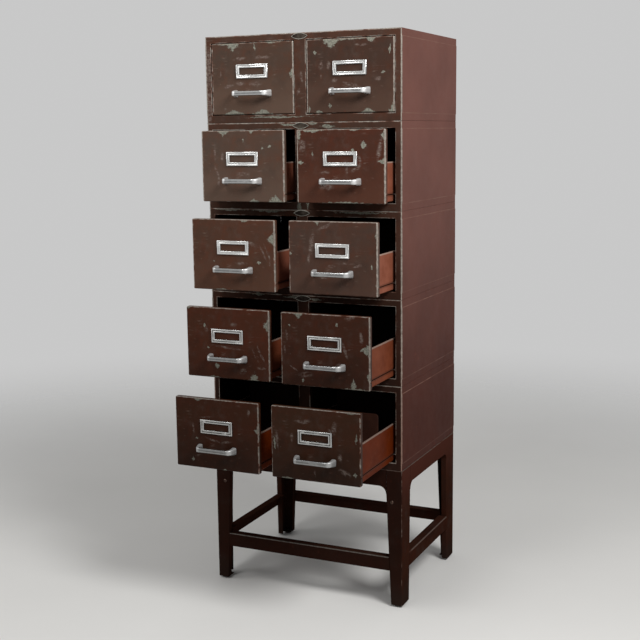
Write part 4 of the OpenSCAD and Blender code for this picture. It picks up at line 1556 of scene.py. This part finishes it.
def cardFollower(paint):
    p = followerParts
    node = "drawer_5_right_follower"
    bm = bmesh.new()
    bm.from_mesh(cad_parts[node].data)
    stretch(bm, (1 / mm,) * 3)
    bmesh.ops.remove_doubles(bm, verts=bm.verts[:], dist=p["mergeWithin"])
    bmesh.ops.dissolve_limit(bm, angle_limit=math.radians(p["flatWithin"]), verts=bm.verts[:],
                             edges=bm.edges[:])
    sharp = math.radians(p["softenOver"])
    soften(bm, [e for e in bm.edges if e.is_manifold and e.calc_face_angle(0) > sharp], p["radius"], 2)
    finishPiece(bm, node, [paint], "follower_5_right", name="cardFollower")


print("building the case")
casePaint, paintedShadeInside = caseEnamel(), insideCoat("paintedShadeInside")
for row in sectionFloor:
    sectionShell(row, casePaint, paintedShadeInside)
backPanels(backEnamel(), paintedShadeInside)
runners(brightMetal("runnerSteel"))
ovalBadges(brightMetal("badgeMetal"), insideCoat("badgeField"))
partitions(paintedShadeInside)

print("building the stand")
standPaint = standEnamel()
legs(standPaint)
standRails(standPaint)
floorGlides(glideRubber())
assemblyScrews(brightMetal("screwSteel"))

print("building the drawers")
trayInside = insideCoat("trayInside")
for row, floor in sectionFloor.items():
    trayPaint = trayEnamel(row)
    castMetal = brightMetal("castBright", row, metalLook["castShadeByRow"][row], pullWearAndShade)
    plateMetal = brightMetal("plateBright", row, metalLook["plateLightAndShadeByRow"][row], holderShade(row))
    for hand in hands:
        drawer = f"drawer_{row}_{hand}"
        drawerTray(drawer, floor, trayPaint, trayInside)
        drawerFront(drawer, floor, drawerFrontPaint(row, hand), paintedShadeInside)
        drawerPull(drawer, castMetal)
        labelHolder(drawer, plateMetal)
cardFollower(insideCoat("followerEnamel"))

print("setting up the studio")
studio = {
    # place in metres, power, size
    "lamps": {
        "keyLamp": ((1.9, -0.95, 2.5), 64, 1.0),
        "topLamp": ((-0.5, -1.9, 2.7), 20, 0.9),
        "fillLamp": ((-3.0, -1.5, 2.1), 24, 2.2),
    },
    "aim": (0, 0, 0.75),
    # the surroundings that the camera and the chrome see are paler than the light they give
    "ambient": 0.3,
    "surroundings": 0.58,
    "floorTones": ((212, 211, 208), (220, 219, 216)),
    "floorBlotch": 400,
    "floorRough": 0.75,
    "floorFade": 0.9,
    "floorEnd": 3.4,
}


def addToScene(name, data):
    made = bpy.data.objects.new(name, data)
    bpy.context.scene.collection.objects.link(made)
    return made


for name, (at, power, size) in studio["lamps"].items():
    lamp = addToScene(name, bpy.data.lights.new(name, "AREA"))
    lamp.data.shape = "DISK"
    lamp.data.energy = power
    lamp.data.size = size
    lamp.location = at
    lamp.rotation_mode = "QUATERNION"
    lamp.rotation_quaternion = (Vector(studio["aim"]) - Vector(at)).to_track_quat("-Z", "Y")

world = bpy.data.worlds.new("studioWorld")
bpy.context.scene.world = world
world.use_nodes = True
nodes = world.node_tree.nodes
nodes.clear()
rays = nodes.new("ShaderNodeLightPath").outputs
seen = most(*(Value(rays[f"Is {kind} Ray"]) for kind in ("Camera", "Glossy", "Transmission")))
ambient = fed("ShaderNodeBackground", {"Strength": between(seen, studio["ambient"], studio["surroundings"]),
                                       "Color": (1, 1, 1, 1)})
wire(ambient, nodes.new("ShaderNodeOutputWorld").inputs["Surface"])

bm = bmesh.new()
bmesh.ops.create_circle(bm, cap_ends=True, segments=96, radius=studio["floorEnd"])
studioFloor = addToScene("studioFloor", bpy.data.meshes.new("studioFloor"))
bm.to_mesh(studioFloor.data)
bm.free()
floorPaper, place = newFinish("floorPaper")
# towards its edge the floor gives way to the plain surroundings
away = ramp(vectorCalc("LENGTH", place), studio["floorFade"] / mm, studio["floorEnd"] / mm)
paper = blend(blotches(place, studio["floorBlotch"], 3), *(tone(colour) for colour in studio["floorTones"]))
studioFloor.data.materials.append(closeFinish(floorPaper, paper, studio["floorRough"], alpha=1.0 - away))

# camera: place, then yaw, pitch and roll in radians
view = {
    "at": (1.1827, -2.5429, 1.1408),
    "yaw": -0.43281,
    "pitch": 0.16230,
    "roll": -0.01178,
    "lens": 64.431,
}
camera = addToScene("studioCamera", bpy.data.cameras.new("studioCamera"))
yaw, pitch, roll = view["yaw"], view["pitch"], view["roll"]
ahead = Vector((math.sin(yaw) * math.cos(pitch), math.cos(yaw) * math.cos(pitch), -math.sin(pitch)))
across = Vector((math.cos(yaw), -math.sin(yaw), 0))
upward = across.cross(ahead)
camera.matrix_world = Matrix.Translation(view["at"]) @ Matrix((
    math.cos(roll) * across + math.sin(roll) * upward,
    math.cos(roll) * upward - math.sin(roll) * across,
    -ahead)).transposed().to_4x4()
camera.data.lens = view["lens"]
camera.data.sensor_width = 36
bpy.context.scene.camera = camera
bpy.context.scene.view_settings.view_transform = "Standard"
